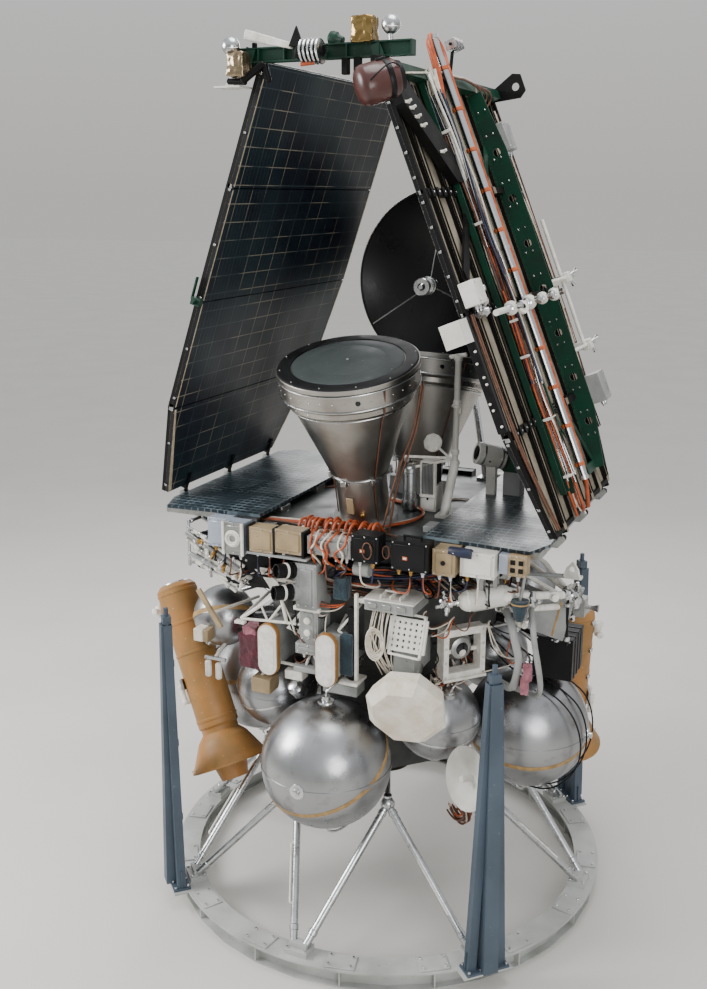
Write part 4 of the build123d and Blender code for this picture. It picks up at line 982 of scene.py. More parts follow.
class PROBE_OT_capsules(bpy.types.Operator):
    """Lids with a dark rim, rivet rows, clamp bands, straps and plugs of the two capsules"""

    bl_idname = "probe.capsules"
    bl_label = "Capsules"

    def execute(self, context):
        lids, fittings, straps, plugs = [], [], [], []
        for side, neck in CAPSULES:
            place = capsule_place(side)
            top = neck + 0.91
            rim = turned((
                (0.545, top), (0.548, top + 0.003), (0.548, top + 0.03), (0.54, top + 0.042),
                (0.53, top + 0.046), (0.442, top + 0.046), (0.438, top + 0.036),
            ), 72)
            cover = turned((
                (0.4375, top + 0.03), (0.434, top + 0.039), (0.424, top + 0.044), (0.3, top + 0.054),
                (0.292, top + 0.052), (0.284, top + 0.055), (0.15, top + 0.059), (0.02, top + 0.06),
            ), 72)
            hub = turned(((0.01, top + 0.05), (0.01, top + 0.063), (0.006, top + 0.065)), 12)
            coat(rim, "black_paint")
            coat(cover, "lid_green")
            coat(hub, "grey_paint")
            pins = spread(
                turned(((0.006, 0), (0.006, 0.004), (0.004, 0.006)), 8),
                [spun(30 * k) @ to(0.52, 0, top + 0.046) for k in range(12)],
            )
            coat_all(pins, "grey_paint")
            # Bare metal edge outside the dark rim
            edge = turned((
                (0.5485, top), (0.5515, top + 0.003), (0.5515, top + 0.034), (0.5485, top + 0.037),
            ), 72)
            coat(edge, "capsule_skin")
            parts = [rim, cover, hub, edge] + pins
            move_all(parts, place)
            lids += parts

            made = []
            for height, radius in (
                (top - 0.012, 0.546), (top - 0.14, 0.541), (neck + 0.665, 0.478), (neck + 0.036, 0.236),
            ):
                made.append(torus(radius, 0.006, 72, height))
            rivet = turned(((0.006, 0), (0.0055, 0.003), (0.003, 0.005)), 8)
            places = [spun(10 * k) @ facing((0.5385, 0, top - 0.075), (1, 0, 0)) for k in range(36)]
            places += [spun(15 * k) @ facing((0.511, 0, top - 0.19), (1, 0, 0)) for k in range(24)]
            made += spread(rivet, places)
            made += spread(
                hex_bolt(0.008, 0.012),
                [spun(22.5 * k) @ facing((0.228, 0, neck + 0.016), (1, 0, 0)) for k in range(16)],
            )
            # Clamp blocks that hold the flange
            made += spread(
                bar((-0.02, -0.028, -0.026), (0.02, 0.028, 0.026), 0.004),
                [spun(60 * k + 20) @ to(0.236, 0, neck + 0.016) for k in range(6)],
            )
            move_all(coat_all(made, "strut_metal"), place)
            fittings += made
            for turn in (-38, 75, 200):
                run = []
                for height in (
                    0.085, 0.25 * neck + 0.06, neck - 0.02, neck + 0.05, neck + 0.3, neck + 0.62, neck + 0.7,
                    top - 0.16, top - 0.02,
                ):
                    if height < neck:
                        radius = 0.216
                    elif height < neck + 0.66:
                        radius = cone_radius(height, neck) + 0.01
                    else:
                        radius = 0.52 if height < top - 0.15 else 0.551
                    run.append(place @ spun(turn) @ Vector((radius, 0, height)))
                straps.append(run)
            plugs += [
                moved(
                    bar((-0.03, -0.008, -0.07), (0.03, 0.008, 0.07), 0.004, "tan_paint"),
                    place @ to(-0.02, -0.216 if side < 0 else 0.216, neck * 0.55),
                ),
                moved(
                    turned((
                        (0.018, 0), (0.02, 0.008), (0.02, 0.03), (0.014, 0.034), (0.012, 0.05),
                    ), 16, "brass"),
                    place @ spun(-70) @ facing((0.205, 0, 0.16), (1, 0, 0)),
                ),
                moved(
                    turned(((0.017, 0), (0.019, 0.006), (0.019, 0.01), (0.012, 0.012)), 20, "lens_glass"),
                    place @ spun(-60) @ facing((0.533, 0, top - 0.075), (1, 0, 0)),
                ),
            ]
        finished(lids, "capsule_covers", "craft", "lid_green", "capsule_lids")
        finished(fittings, "capsule_rings", "craft", "capsule_skin")
        finished(plugs, "capsule_plugs", "craft", "capsule_skin")
        wires("capsule_straps", "craft", "wire_brown", 0.006, straps)
        return {"FINISHED"}


def dish_back(radius):
    """Depth of the large dish behind its rim, at a radius."""
    deepest, reach = 0.23, 0.88
    return -deepest * (1 - (radius / reach) ** 2)


class PROBE_OT_dish(bpy.types.Operator):
    """Rim bead, rear ribs and the stepped silver feed of the large dish"""

    bl_idname = "probe.dish"
    bl_label = "Large dish"

    def execute(self, context):
        place = facing((-0.08, 1.56, 5.2), (0, -1, 0))
        rings = [torus(0.872, 0.011, 96, -0.004)]
        ribs = []
        for k in range(12):
            turn = spun(30 * k)
            run = [Vector((0.14, 0, -0.262))]  # the ribs start at the hub behind the middle
            run += [
                Vector((radius, 0, dish_back(radius) - 0.026))
                for radius in (0.3, 0.45, 0.6, 0.75, 0.862)
            ]
            ribs.append([place @ turn @ point for point in run])
        wires("dish_ribs", "craft", "dish_black", 0.014, ribs)
        rings += [torus(radius, 0.01, 64, dish_back(radius) - 0.024, 6) for radius in (0.42, 0.68)]
        parts = move_all(coat_all(rings, "dish_black"), place)
        finished(parts, "dish_rim", "craft", "dish_black")

        horn = turned((
            (0.04, 0.372), (0.054, 0.38), (0.054, 0.398), (0.044, 0.402), (0.044, 0.42), (0.062, 0.428),
            (0.084, 0.45), (0.086, 0.48), (0.078, 0.5), (0.06, 0.512), (0.058, 0.53), (0.08, 0.536),
            (0.082, 0.548), (0.062, 0.556), (0.078, 0.622), (0.08, 0.634), (0.074, 0.64), (0.052, 0.64),
        ), 32)
        lugs = spread(
            bar((-0.02, -0.012, -0.03), (0.02, 0.012, 0.03), 0.003),
            [spun(120 * k + 30) @ to(0.066, 0, 0.41) for k in range(3)],
        )
        cap = turned(((0.03, 0.64), (0.034, 0.652), (0.02, 0.664)), 20)
        move_all(coat_all([horn, cap] + lugs, "steel"), place)
        finished([horn, cap] + lugs, "dish_horn", "craft", "alloy")
        return {"FINISHED"}


PROBES = (
    # top of the tube, lower end of the skirt
    (Vector((-1.850, -0.570, 2.575)), Vector((-1.110, -0.935, 1.150))),
    (Vector((1.520, 0.640, 2.450)), Vector((1.430, 0.860, 1.060))),
)


class PROBE_OT_probe_fittings(bpy.types.Operator):
    """Clamp bands, white fittings and boxes on the two surface probes"""

    bl_idname = "probe.probe_fittings"
    bl_label = "Surface probes"

    def execute(self, context):
        for name, (top, end) in zip(("left", "right"), PROBES):
            way = end - top
            length = way.length
            place = facing(top, way)
            # The side of the tube that looks away from the craft
            outwards = place.inverted().to_3x3() @ Vector((top.x, top.y, 0)).normalized()
            front = math.degrees(math.atan2(outwards.y, outwards.x))
            parts = []
            for height in (0.06, 0.34, 0.62, length - 0.42):
                parts += [
                    moved(
                        turned((
                            (0.1802, -0.014), (0.1845, -0.01), (0.1845, 0.01), (0.1802, 0.014),
                        ), 40, "ochre_paint"),
                        to(0, 0, height),
                    ),
                    moved(
                        bar((0.176, -0.022, -0.018), (0.206, 0.022, 0.018), 0.003, "steel"),
                        spun(front + 40) @ to(0, 0, height),
                    ),
                ]
            rivets = spread(
                turned(((0.006, 0), (0.0055, 0.003), (0.003, 0.005)), 8),
                [spun(20 * k) @ facing((0.3435, 0, length - 0.035), (1, 0, 0)) for k in range(18)],
            )
            coat_all(rivets, "ochre_paint")
            cap = turned(((0.11, -0.034), (0.125, -0.03), (0.13, -0.021), (0.14, -0.018)), 32)
            parts += [
                coat(cap, "steel"),
                # Two white sleeves on a bare plate, lower on the tube
                moved(
                    bar((0.172, -0.11, -0.05), (0.196, 0.11, 0.05), 0.004, "alloy"),
                    spun(front) @ to(0, 0, 0.86),
                ),
            ]
            for side in (-1, 1):
                parts.append(moved(
                    turned((
                        (0.02, 0), (0.03, 0.006), (0.03, 0.03), (0.026, 0.034), (0.026, 0.15), (0.03, 0.156),
                        (0.028, 0.176), (0.014, 0.18),
                    ), 16, "clip_white"),
                    spun(front) @ to(0.212, side * 0.066, 0.86),
                ))
            # White valve with two ports near the top
            parts.append(moved(
                turned((
                    (0.03, 0), (0.036, 0.008), (0.036, 0.1), (0.026, 0.112), (0.022, 0.13),
                ), 16, "clip_white"),
                spun(front + 8) @ to(0.214, 0, 0.11),
            ))
            for height, turn in ((0.16, -70), (0.2, 60)):
                parts.append(moved(
                    turned((
                        (0.02, 0), (0.022, 0.05), (0.03, 0.054), (0.03, 0.08), (0.018, 0.084),
                    ), 14, "clip_white"),
                    spun(front + 8) @ facing((0.214, 0, height), (0.3, math.sin(math.radians(turn)), 0)),
                ))
            move_all(parts + rivets, place)
            finished(parts + rivets, f"{name}_probe_fittings", "craft", "ochre_paint")
        return {"FINISHED"}


WING_ENDS = (0.07, 0.9, 1.8, 2.69, 3.6)
WING_FRONTS = (-0.93, -1.185, -1.185, -1.17, -1.15)
WING_BACKS = (0.94, 1.32, 1.43, 1.42, 1.4)
FRAME_TOP = 0.062


def wing_edge(edge, height):
    """Y of a wing's front or back edge at a height up the wing."""
    for k in range(4):
        low, top = WING_ENDS[k], WING_ENDS[k + 1]
        if height <= top:
            return edge[k] + (edge[k + 1] - edge[k]) * (height - low) / (top - low)
    return edge[-1]


class PROBE_OT_wing_edges(bpy.types.Operator):
    """Edge clips, panel joints and stringer lines of both wings"""

    bl_idname = "probe.wing_edges"
    bl_label = "Wing edges and joints"

    def execute(self, context):
        for side in ("left", "right"):
            dark, pale = [], []
            for height in WING_ENDS[1:4]:
                front, back = wing_edge(WING_FRONTS, height) + 0.05, wing_edge(WING_BACKS, height) - 0.05
                strip = bar(
                    (height - 0.024, front, FRAME_TOP - 0.001), (height + 0.024, back, FRAME_TOP + 0.007),
                    0.002,
                )
                dark.append(strip)
                knuckles = [
                    to(height, front + 0.06 + 0.118 * k, FRAME_TOP + 0.007)
                    for k in range(int((back - front - 0.08) / 0.118))
                ]
                dark += spread(bar((-0.034, -0.016, 0), (0.034, 0.016, 0.012), 0.003), knuckles)
                pins = [place @ to(0, 0.045, 0) for place in knuckles]
                pale += spread(hex_bolt(0.009, 0.008), pins)
                for y in (front - 0.03, back + 0.03):
                    pale.append(bar(
                        (height - 0.03, y - 0.02, 0.012), (height + 0.03, y + 0.02, 0.052), 0.004,
                    ))
            clip = bar((-0.009, -0.004, 0.012), (0.009, 0.006, 0.034), 0.002)
            places = []
            count = 20 if side == "right" else 9
            for k in range(count):
                height = 0.14 + 3.38 * k / (count - 1)
                places += [
                    to(height, wing_edge(WING_FRONTS, height) - 0.006, 0),
                    to(height, wing_edge(WING_BACKS, height) + 0.006, 0),
                ]
            pale += spread(clip, places)
            # Narrow ridges along the stringers, which make each a double line
            for y in (-0.98, -0.665, -0.035, 0.28, 0.9, 1.19):
                for off in (-0.034, 0.026):
                    low = 0.52 if abs(y) > 0.95 else 0.12
                    dark.append(bar(
                        (low, y + off, FRAME_TOP - 0.001), (3.49, y + off + 0.008, FRAME_TOP + 0.01), 0.001,
                    ))
            coat_all(dark, "frame_black")
            coat_all(pale, "steel")
            # Painted highlight: a pale line between the cells and the frame where their side edge catches
            # the light, wide on the lowest panel's front edge
            lines = []
            for low, top in zip(WING_ENDS, WING_ENDS[1:]):
                low, top = low + 0.012, min(top, 3.5) - 0.012
                for edge, inwards in ((WING_FRONTS, 1), (WING_BACKS, -1)):
                    start, end = wing_edge(edge, low), wing_edge(edge, top)
                    wide = 0.045 if low < 0.5 and inwards > 0 else 0.011
                    line = bar((low, 0, -0.003), (top, wide, 0.0005), 0.001)
                    for vertex in line.data.vertices:
                        share = (vertex.co.x - low) / (top - low)
                        across = vertex.co.y
                        if wide > 0.04:
                            across *= 1 - 0.5 * share
                        vertex.co.y = start + (end - start) * share + inwards * (0.006 + across)
                    if inwards < 0:
                        line.data.flip_normals()
                    lines.append(coat(line, "lit_edge_strip"))
            parts = on_wing(side, dark + pale + lines)
            finished(parts, f"{side}_wing_joints", f"{side}_wing", "frame_black")
        return {"FINISHED"}


def channel():
    """Two flanges and the floor of the cable channel along a wing, in the wing's own measures."""
    flange_top = 0.112
    made = []
    for y0, y1, top in ((-0.535, -0.523, flange_top), (-0.447, -0.435, flange_top), (-0.535, -0.435, 0.07)):
        made.append(bar((0.3, y0, FRAME_TOP), (3.51, y1, top), 0.002))
    return made


def girder_bolts(height):
    """The pair of bolts on the deep girder's face at a height up a wing."""
    return [bolt((height, 0.594, out), (0, -1, 0), 0.009, 0.008, "steel") for out in (0.105, 0.165)]


class PROBE_OT_right_wing_gear(bpy.types.Operator):
    """Cable runs, bound tube, green channel, valves and clips on the outside of the right wing"""

    bl_idname = "probe.right_wing_gear"
    bl_label = "Right wing gear"

    def execute(self, context):
        luck = random.Random(11)
        tube_y, tube_out = -0.225, 0.19

        bindings = []
        for k in range(11):
            height = 3.6 - 0.315 * k
            bindings.append(rod(
                (height - 0.018, tube_y, tube_out), (height + 0.018, tube_y, tube_out), 0.04, 16,
            ))
            knot = turned(((0.012, 0), (0.02, 0.008), (0.02, 0.024), (0.012, 0.032)), 10)
            bindings.append(aim(knot, (height, tube_y + 0.04, tube_out - 0.01), (0, 1, 0.3)))
        coat_all(bindings, "tape_orange")
        finished(on_wing("right", bindings), "tube_bindings", "right_wing", "white_paint")

        cable = [[
            (0.1, tube_y + 0.18, 0.1),
            (0.26, tube_y + 0.12, 0.16),
            (0.5, tube_y + 0.066, 0.206),
            (1.2, tube_y + 0.06, 0.206),
            (2.2, tube_y + 0.062, 0.206),
            (3.2, tube_y + 0.06, 0.206),
            (3.6, tube_y + 0.066, 0.206),
            (3.74, tube_y + 0.12, 0.2),
            (3.835, tube_y + 0.1, 0.19),
            (3.862, tube_y + 0.01, 0.19),
            (3.845, tube_y - 0.09, 0.19),
            (3.72, tube_y - 0.115, 0.19),
            (3.56, tube_y - 0.11, tube_out - 0.01),
            (3.4, tube_y - 0.13, tube_out - 0.03),
            (3.22, tube_y - 0.165, tube_out - 0.05),
        ]]
        # The second strand lies beside the first, a little lower and nearer to the wing
        cable.append([(h - 0.028, y + (0.024 if y > tube_y else -0.022), n - 0.014) for h, y, n in cable[0]])
        wires("tube_cable", "right_wing", "wire_orange", 0.018, wing_runs("right", cable))
        seam = [
            rod((3.84, tube_y - 0.02, tube_out), (3.868, tube_y - 0.02, tube_out), 0.018, 12, "steel"),
            bar(
                (0.36, tube_y - 0.04, tube_out - 0.006), (3.82, tube_y - 0.0325, tube_out + 0.006), 0.002,
                "wire_black",
            ),
        ]
        finished(on_wing("right", seam), "tube_seam", "right_wing", "white_paint")

        # Looms between the green channel and the tube, lashed to the front girder
        spine = [
            (0.12, -0.3, 0.11), (0.36, -0.36, 0.125), (0.75, -0.4, 0.135), (1.15, -0.43, 0.14),
            (1.55, -0.42, 0.15), (1.95, -0.44, 0.15), (2.35, -0.46, 0.15), (2.75, -0.44, 0.15),
            (3.1, -0.44, 0.15), (3.4, -0.46, 0.14), (3.56, -0.46, 0.15),
        ]
        for finish, count, first, last, radius in (
            ("wire_white", 12, 3, 11, 0.008), ("wire_brown", 6, 2, 9, 0.008), ("wire_blue", 6, 3, 10, 0.008),
            ("wire_orange", 6, 0, 6, 0.01), ("wire_white", 7, 0, 5, 0.008), ("steel", 4, 1, 10, 0.008),
            ("clip_white", 3, 7, 11, 0.012), ("wire_orange", 2, 3, 8, 0.01),
        ):
            runs = loom(spine[first:last], count, 0.042, luck)
            name = f"wing_loom_{finish}_{first}"
            wires(name, "right_wing", finish, radius, wing_runs("right", runs))

        green = channel()
        green += [
            bar((0.3, -0.493, 0.068), (3.51, -0.485, 0.096), 0.002),
            # Bracing plate and straps at the foot and at the third joint
            bar((0.26, 0.3, 0.062), (0.34, 0.6, 0.09), 0.004),
        ]
        for start, end in (
            ((0.32, 0.33), (1.02, -0.22)), ((0.32, 0.58), (0.95, 0.18)), ((2.6, 0.1), (3.05, 0.54)),
        ):
            way = Vector((end[0] - start[0], end[1] - start[1], 0))
            strap = bar((-way.length / 2, -0.03, 0), (way.length / 2, 0.03, 0.012), 0.002)
            turn = Matrix.Rotation(math.atan2(way.y, way.x), 4, "Z")
            middle = ((start[0] + end[0]) / 2, (start[1] + end[1]) / 2, 0.074)
            strap.data.transform(Matrix.Translation(middle) @ turn)
            green.append(strap)
        coat_all(green, "girder_green")
        finished(on_wing("right", green), "wing_channel", "right_wing", "girder_green")

        fittings = []
        # Pairs of bolts down the deep girder's face, and white lashings over the looms
        for k in range(15):
            fittings += girder_bolts(0.55 + 0.2 * k)
        for height, y in (
            (0.42, -0.46), (0.88, -0.48), (1.38, -0.5), (1.66, -0.46), (2.42, -0.49), (3.12, -0.51),
        ):
            fittings += [
                bar((height - 0.005, y, 0.166), (height + 0.005, y + 0.13, 0.176), 0.002, "clip_white"),
                bar(
                    (height - 0.01, y - 0.022, 0.11), (height + 0.01, y + 0.006, 0.176), 0.003, "clip_white",
                ),
            ]
        # Clips on the dark diagonal
        for height, y in ((3.3, -1.13), (3.26, -1.085), (3.2, -1.04), (3.14, -0.985), (2.96, -0.76)):
            fittings += [
                bar(
                    (height - 0.01, y - 0.03, 0.132), (height + 0.01, y + 0.045, 0.146), 0.004, "clip_white",
                ),
                rod((height, y, 0.13), (height, y, 0.176), 0.01, 10, "clip_white"),
            ]
        # Valves along the crossbar: hubs, flanges and a white ring
        bar_height, bar_out = 1.75, 0.285
        for y, radius in ((-0.9, 0.052), (-0.42, 0.056), (-0.04, 0.048), (0.33, 0.052)):
            for way in (-1, 1):
                fittings.append(fitting((
                    (radius * 0.62, 0), (radius * 0.7, 0.006), (radius * 0.7, 0.022), (radius * 0.5, 0.028),
                    (radius * 0.5, 0.05), (radius * 0.4, 0.054),
                ), 16, (bar_height, y + way * radius * 0.8, bar_out), (0, way, 0), "steel"))
            fittings.append(fitting((
                (radius * 0.45, 0), (radius * 0.5, 0.01), (radius * 0.5, 0.04), (radius * 0.3, 0.046),
            ), 14, (bar_height, y, bar_out + radius * 0.85), (0, 0, 1), "steel"))
        fittings += [
            fitting((
                (0.03, -0.014), (0.05, -0.012), (0.05, 0.012), (0.03, 0.014),
            ), 24, (bar_height - 0.02, -0.7, bar_out + 0.02), (0.2, -0.5, 0.9), "clip_white"),
            fitting(
                ((0.016, 0), (0.018, 0.006), (0.01, 0.008)), 14,
                (bar_height - 0.016, -0.708, bar_out + 0.034), (0.2, -0.5, 0.9), "wire_black",
            ),
        ]
        # Silver pots behind the white box at the front edge
        for height, y in ((1.86, -0.96), (1.95, -0.93), (1.79, -1.0)):
            fittings.append(fitting((
                (0.03, 0), (0.04, 0.008), (0.04, 0.07), (0.03, 0.082), (0.022, 0.1), (0.012, 0.104),
            ), 16, (height, y, FRAME_TOP), (0, 0.1, 1), "steel"))
        finished(on_wing("right", fittings), "wing_fittings", "right_wing", "white_paint")

        lids = []
        boxes = (
            # corners of the box that each lid covers
            ((1.850, -1.180), (2.020, -1.000), 0.172, "white_paint"),
            ((0.735, 1.120), (0.985, 1.330), 0.215, "grey_paint"),
            ((3.040, 0.960), (3.270, 1.160), 0.170, "grey_paint"),
        )
        for (s0, y0), (s1, y1), top, finish in boxes:
            lids.append(bar(
                (s0 - 0.004, y0 - 0.004, FRAME_TOP), (s1 + 0.004, y1 + 0.004, top + 0.006), 0.005, finish,
            ))
            for s in (s0 + 0.018, s1 - 0.018):
                for y in (y0 + 0.018, y1 - 0.018):
                    lids.append(bolt((s, y, top + 0.006), (0, 0, 1), 0.008, 0.007, "steel"))
            for share in (0.3, 0.7):
                lids.append(fitting((
                    (0.016, 0), (0.018, 0.01), (0.018, 0.03), (0.012, 0.034), (0.01, 0.05),
                ), 12, (s0, y0 + (y1 - y0) * share, top - 0.05), (-1, 0, 0), "steel"))
        finished(on_wing("right", lids), "wing_box_lids", "right_wing", "white_paint")

        # Dark cable tray with white fittings along the front edge, and pale runs beside the deep girder
        rail = [bar((0.95, -1.245, 0.004), (1.8, -1.19, 0.07), 0.006, "wire_black")]
        for k in range(9):
            height = 1.0 + 0.095 * k
            knob = turned(((0.007, 0), (0.009, 0.004), (0.009, 0.018), (0.005, 0.022)), 10)
            place = (height + luck.uniform(-0.03, 0.03), -1.247, luck.uniform(0.016, 0.058))
            rail.append(coat(aim(knob, place, (0, -1, 0)), "clip_white"))
        finished(on_wing("right", rail), "wing_edge_tray", "right_wing", "frame_black")
        edge = []
        for y, out in ((-1.13, 0.08), (-1.16, 0.076)):
            edge.append([(0.12, y + 0.26, out), (0.5, y + 0.12, out), (0.95, y, out), (1.8, y, out)])
        wires("wing_edge_wires", "right_wing", "wire_brown", 0.009, wing_runs("right", edge))
        back = [
            [
                (3.45, 0.78, 0.08), (3.2, 0.8, 0.09), (3.0, 0.82, 0.11), (2.8, 0.95, 0.1), (2.7, 1.05, 0.1),
                (2.5, 1.2, 0.09), (2.0, 1.27, 0.08), (1.5, 1.26, 0.08), (1.0, 1.16, 0.08),
                (0.55, 1.02, 0.08),
            ],
            [(3.42, 1.2, 0.08), (3.0, 1.24, 0.08), (2.4, 1.28, 0.08), (1.8, 1.3, 0.08), (1.3, 1.28, 0.08)],
            [(1.0, 0.75, 0.08), (0.8, 0.8, 0.12), (0.55, 0.78, 0.12), (0.3, 0.7, 0.1)],
        ]
        wires(
            "wing_back_white", "right_wing", "wire_white", 0.008,
            wing_runs("right", back[:2]),
        )
        spare = [[(h - 0.02, y + 0.03, n) for h, y, n in run] for run in back]
        wires("wing_back_brown", "right_wing", "wire_brown", 0.008, wing_runs("right", spare))

        # Small jet clusters on the back edge, with the rods that stand out of them
        jets = []
        for height, y, out in ((1.86, 1.235, 0.2), (1.245, 1.235, 0.19)):
            jets += [
                bar(
                    (height - 0.045, y - 0.05, out - 0.04), (height + 0.045, y + 0.05, out + 0.04), 0.008,
                    "clip_white",
                ),
                bar(
                    (height - 0.03, y - 0.04, FRAME_TOP), (height + 0.03, y + 0.02, out - 0.03), 0.004,
                    "alloy",
                ),
            ]
            for way in ((0, 1, 0.2), (0.3, 0.6, 0.8), (-0.6, 0.7, 0.2)):
                jet = turned(((0.01, 0), (0.012, 0.03), (0.01, 0.04), (0.026, 0.075), (0.024, 0.077)), 14)
                direction = Vector(way).normalized()
                jets.append(coat(aim(jet, Vector((height, y, out)) + direction * 0.04, way), "steel"))
            jets += [
                rod((height, y, out), (height + 0.03, y + 0.19, out + 0.03), 0.006, 8, "alloy"),
                rod((height, 0.612, 0.15), (height, y - 0.04, out), 0.016, 12, "clip_white"),
            ]
        finished(on_wing("right", jets), "wing_jets", "right_wing", "white_paint")
        return {"FINISHED"}


class PROBE_OT_left_wing_gear(bpy.types.Operator):
    """Cable runs, channel and clips on the outside of the left wing"""

    bl_idname = "probe.left_wing_gear"
    bl_label = "Left wing gear"

    def execute(self, context):
        luck = random.Random(23)
        green = coat_all(channel(), "girder_green")
        finished(on_wing("left", green), "left_wing_channel", "left_wing", "girder_green")
        spine = [
            (0.12, -0.2, 0.1), (0.4, -0.28, 0.12), (0.9, -0.3, 0.13), (1.5, -0.29, 0.13), (2.1, -0.3, 0.13),
            (2.75, -0.29, 0.13), (3.3, -0.3, 0.12), (3.5, -0.34, 0.11),
        ]
        for finish, count, last, radius in (
            ("wire_white", 5, 8, 0.009), ("wire_orange", 4, 5, 0.01), ("wire_blue", 4, 7, 0.009),
        ):
            runs = loom(spine[:last], count, 0.024, luck)
            wires(
                f"left_wing_loom_{finish}", "left_wing", finish, radius,
                wing_runs("left", runs),
            )
        parts = []
        for k in range(10):
            height = 0.45 + 0.32 * k
            parts += [
                bar((height - 0.009, -0.345, 0.15), (height + 0.009, -0.235, 0.16), 0.003, "clip_white"),
                bar((height - 0.009, -0.245, 0.07), (height + 0.009, -0.235, 0.16), 0.002, "clip_white"),
            ]
            parts += girder_bolts(height)
        finished(on_wing("left", parts), "left_wing_lashings", "left_wing", "white_paint")
        # Green bracket at the second joint
        bracket = [
            bar((1.77, -1.245, -0.01), (1.83, -1.187, 0.07), 0.004, "girder_green"),
            bar((1.785, -1.3, 0.01), (1.815, -1.24, 0.04), 0.004, "girder_green"),
            bar((1.8, -1.232, 0.07), (1.98, -1.2, 0.082), 0.003, "girder_green"),
        ]
        finished(on_wing("left", bracket), "left_wing_bracket", "left_wing", "girder_green")
        return {"FINISHED"}


FRONT_BOXES = (
    # x from, x to, front y, z from, z to, lid finish
    (-1.100, -0.920, -1.185, 3.250, 3.484, "wrap_foil"),
    (-0.900, -0.715, -1.290, 3.240, 3.500, "alloy"),
    (-0.660, -0.450, -1.290, 3.290, 3.485, "tan_paint"),
    (-0.435, -0.200, -1.290, 3.310, 3.495, "tan_paint"),
    (-0.160, 0.200, -1.270, 3.330, 3.470, "alloy"),
    (0.225, 0.440, -1.300, 3.330, 3.540, "black_paint"),
    (0.545, 0.830, -1.290, 3.310, 3.530, "black_paint"),
    (0.850, 1.020, -1.230, 3.290, 3.484, "tan_paint"),
    (1.055, 1.310, -1.200, 3.300, 3.484, "white_paint"),
    (1.400, 1.530, -1.140, 3.330, 3.484, "tan_paint"),
)
REAR_BOXES = (
    # x from, x to, back y, z from, z to, lid finish
    (0.600, 0.800, 1.290, 3.260, 3.480, "white_paint"),
    (0.060, 0.360, 1.300, 3.250, 3.470, "black_paint"),
    (-0.340, -0.060, 1.290, 3.240, 3.480, "white_paint"),
    (-0.800, -0.600, 1.280, 3.260, 3.480, "tan_paint"),
)
RING_BOXES = (
    # azimuth, half width, z from, z to, depth, lid finish
    (0, 0.180, 2.945, 3.340, 0.130, "white_paint"),
    (22.5, 0.150, 2.960, 3.300, 0.110, "tan_paint"),
    (180, 0.180, 2.945, 3.340, 0.130, "white_paint"),
    (157.5, 0.150, 2.960, 3.300, 0.110, "tan_paint"),
    (90, 0.150, 2.520, 2.880, 0.120, "white_paint"),
    (112.5, 0.130, 2.540, 2.860, 0.140, "black_paint"),
    (67.5, 0.130, 2.540, 2.860, 0.140, "tan_paint"),
    (135, 0.140, 2.950, 3.300, 0.120, "white_paint"),
    (45, 0.140, 2.950, 3.300, 0.120, "white_paint"),
)


def dressed_face(width, low, top, finish, luck):
    """Lid, corner bolts and plugs of a box whose face looks along +X at x = 0, centred on y = 0."""
    parts = []
    half = width / 2
    parts += [
        bar((-0.012, -half - 0.004, low - 0.004), (0.005, half + 0.004, top + 0.004), 0.002, finish),
        bar((0.003, -half + 0.022, low + 0.022), (0.013, half - 0.022, top - 0.022), 0.004, finish),
    ]
    parts += [
        bolt((0.005, y, z), (1, 0, 0), 0.007, 0.006, "steel")
        for y in (-half + 0.011, 0, half - 0.011) for z in (low + 0.011, top - 0.011)
    ]
    count = max(1, int(width / PLUG_PITCH))
    for k in range(count):
        y = (k + 0.5) / count * width - half
        plug = turned((
            (0.017, 0), (0.019, 0.006), (0.019, 0.026), (0.014, 0.03), (0.012, 0.05), (0.007, 0.054),
        ), 12)
        finish_here = luck.choice(("steel", "brass", "wire_black", "steel"))
        parts.append(coat(aim(plug, (-0.035, y, low + 0.002), (0, 0, -1)), finish_here))
    return parts


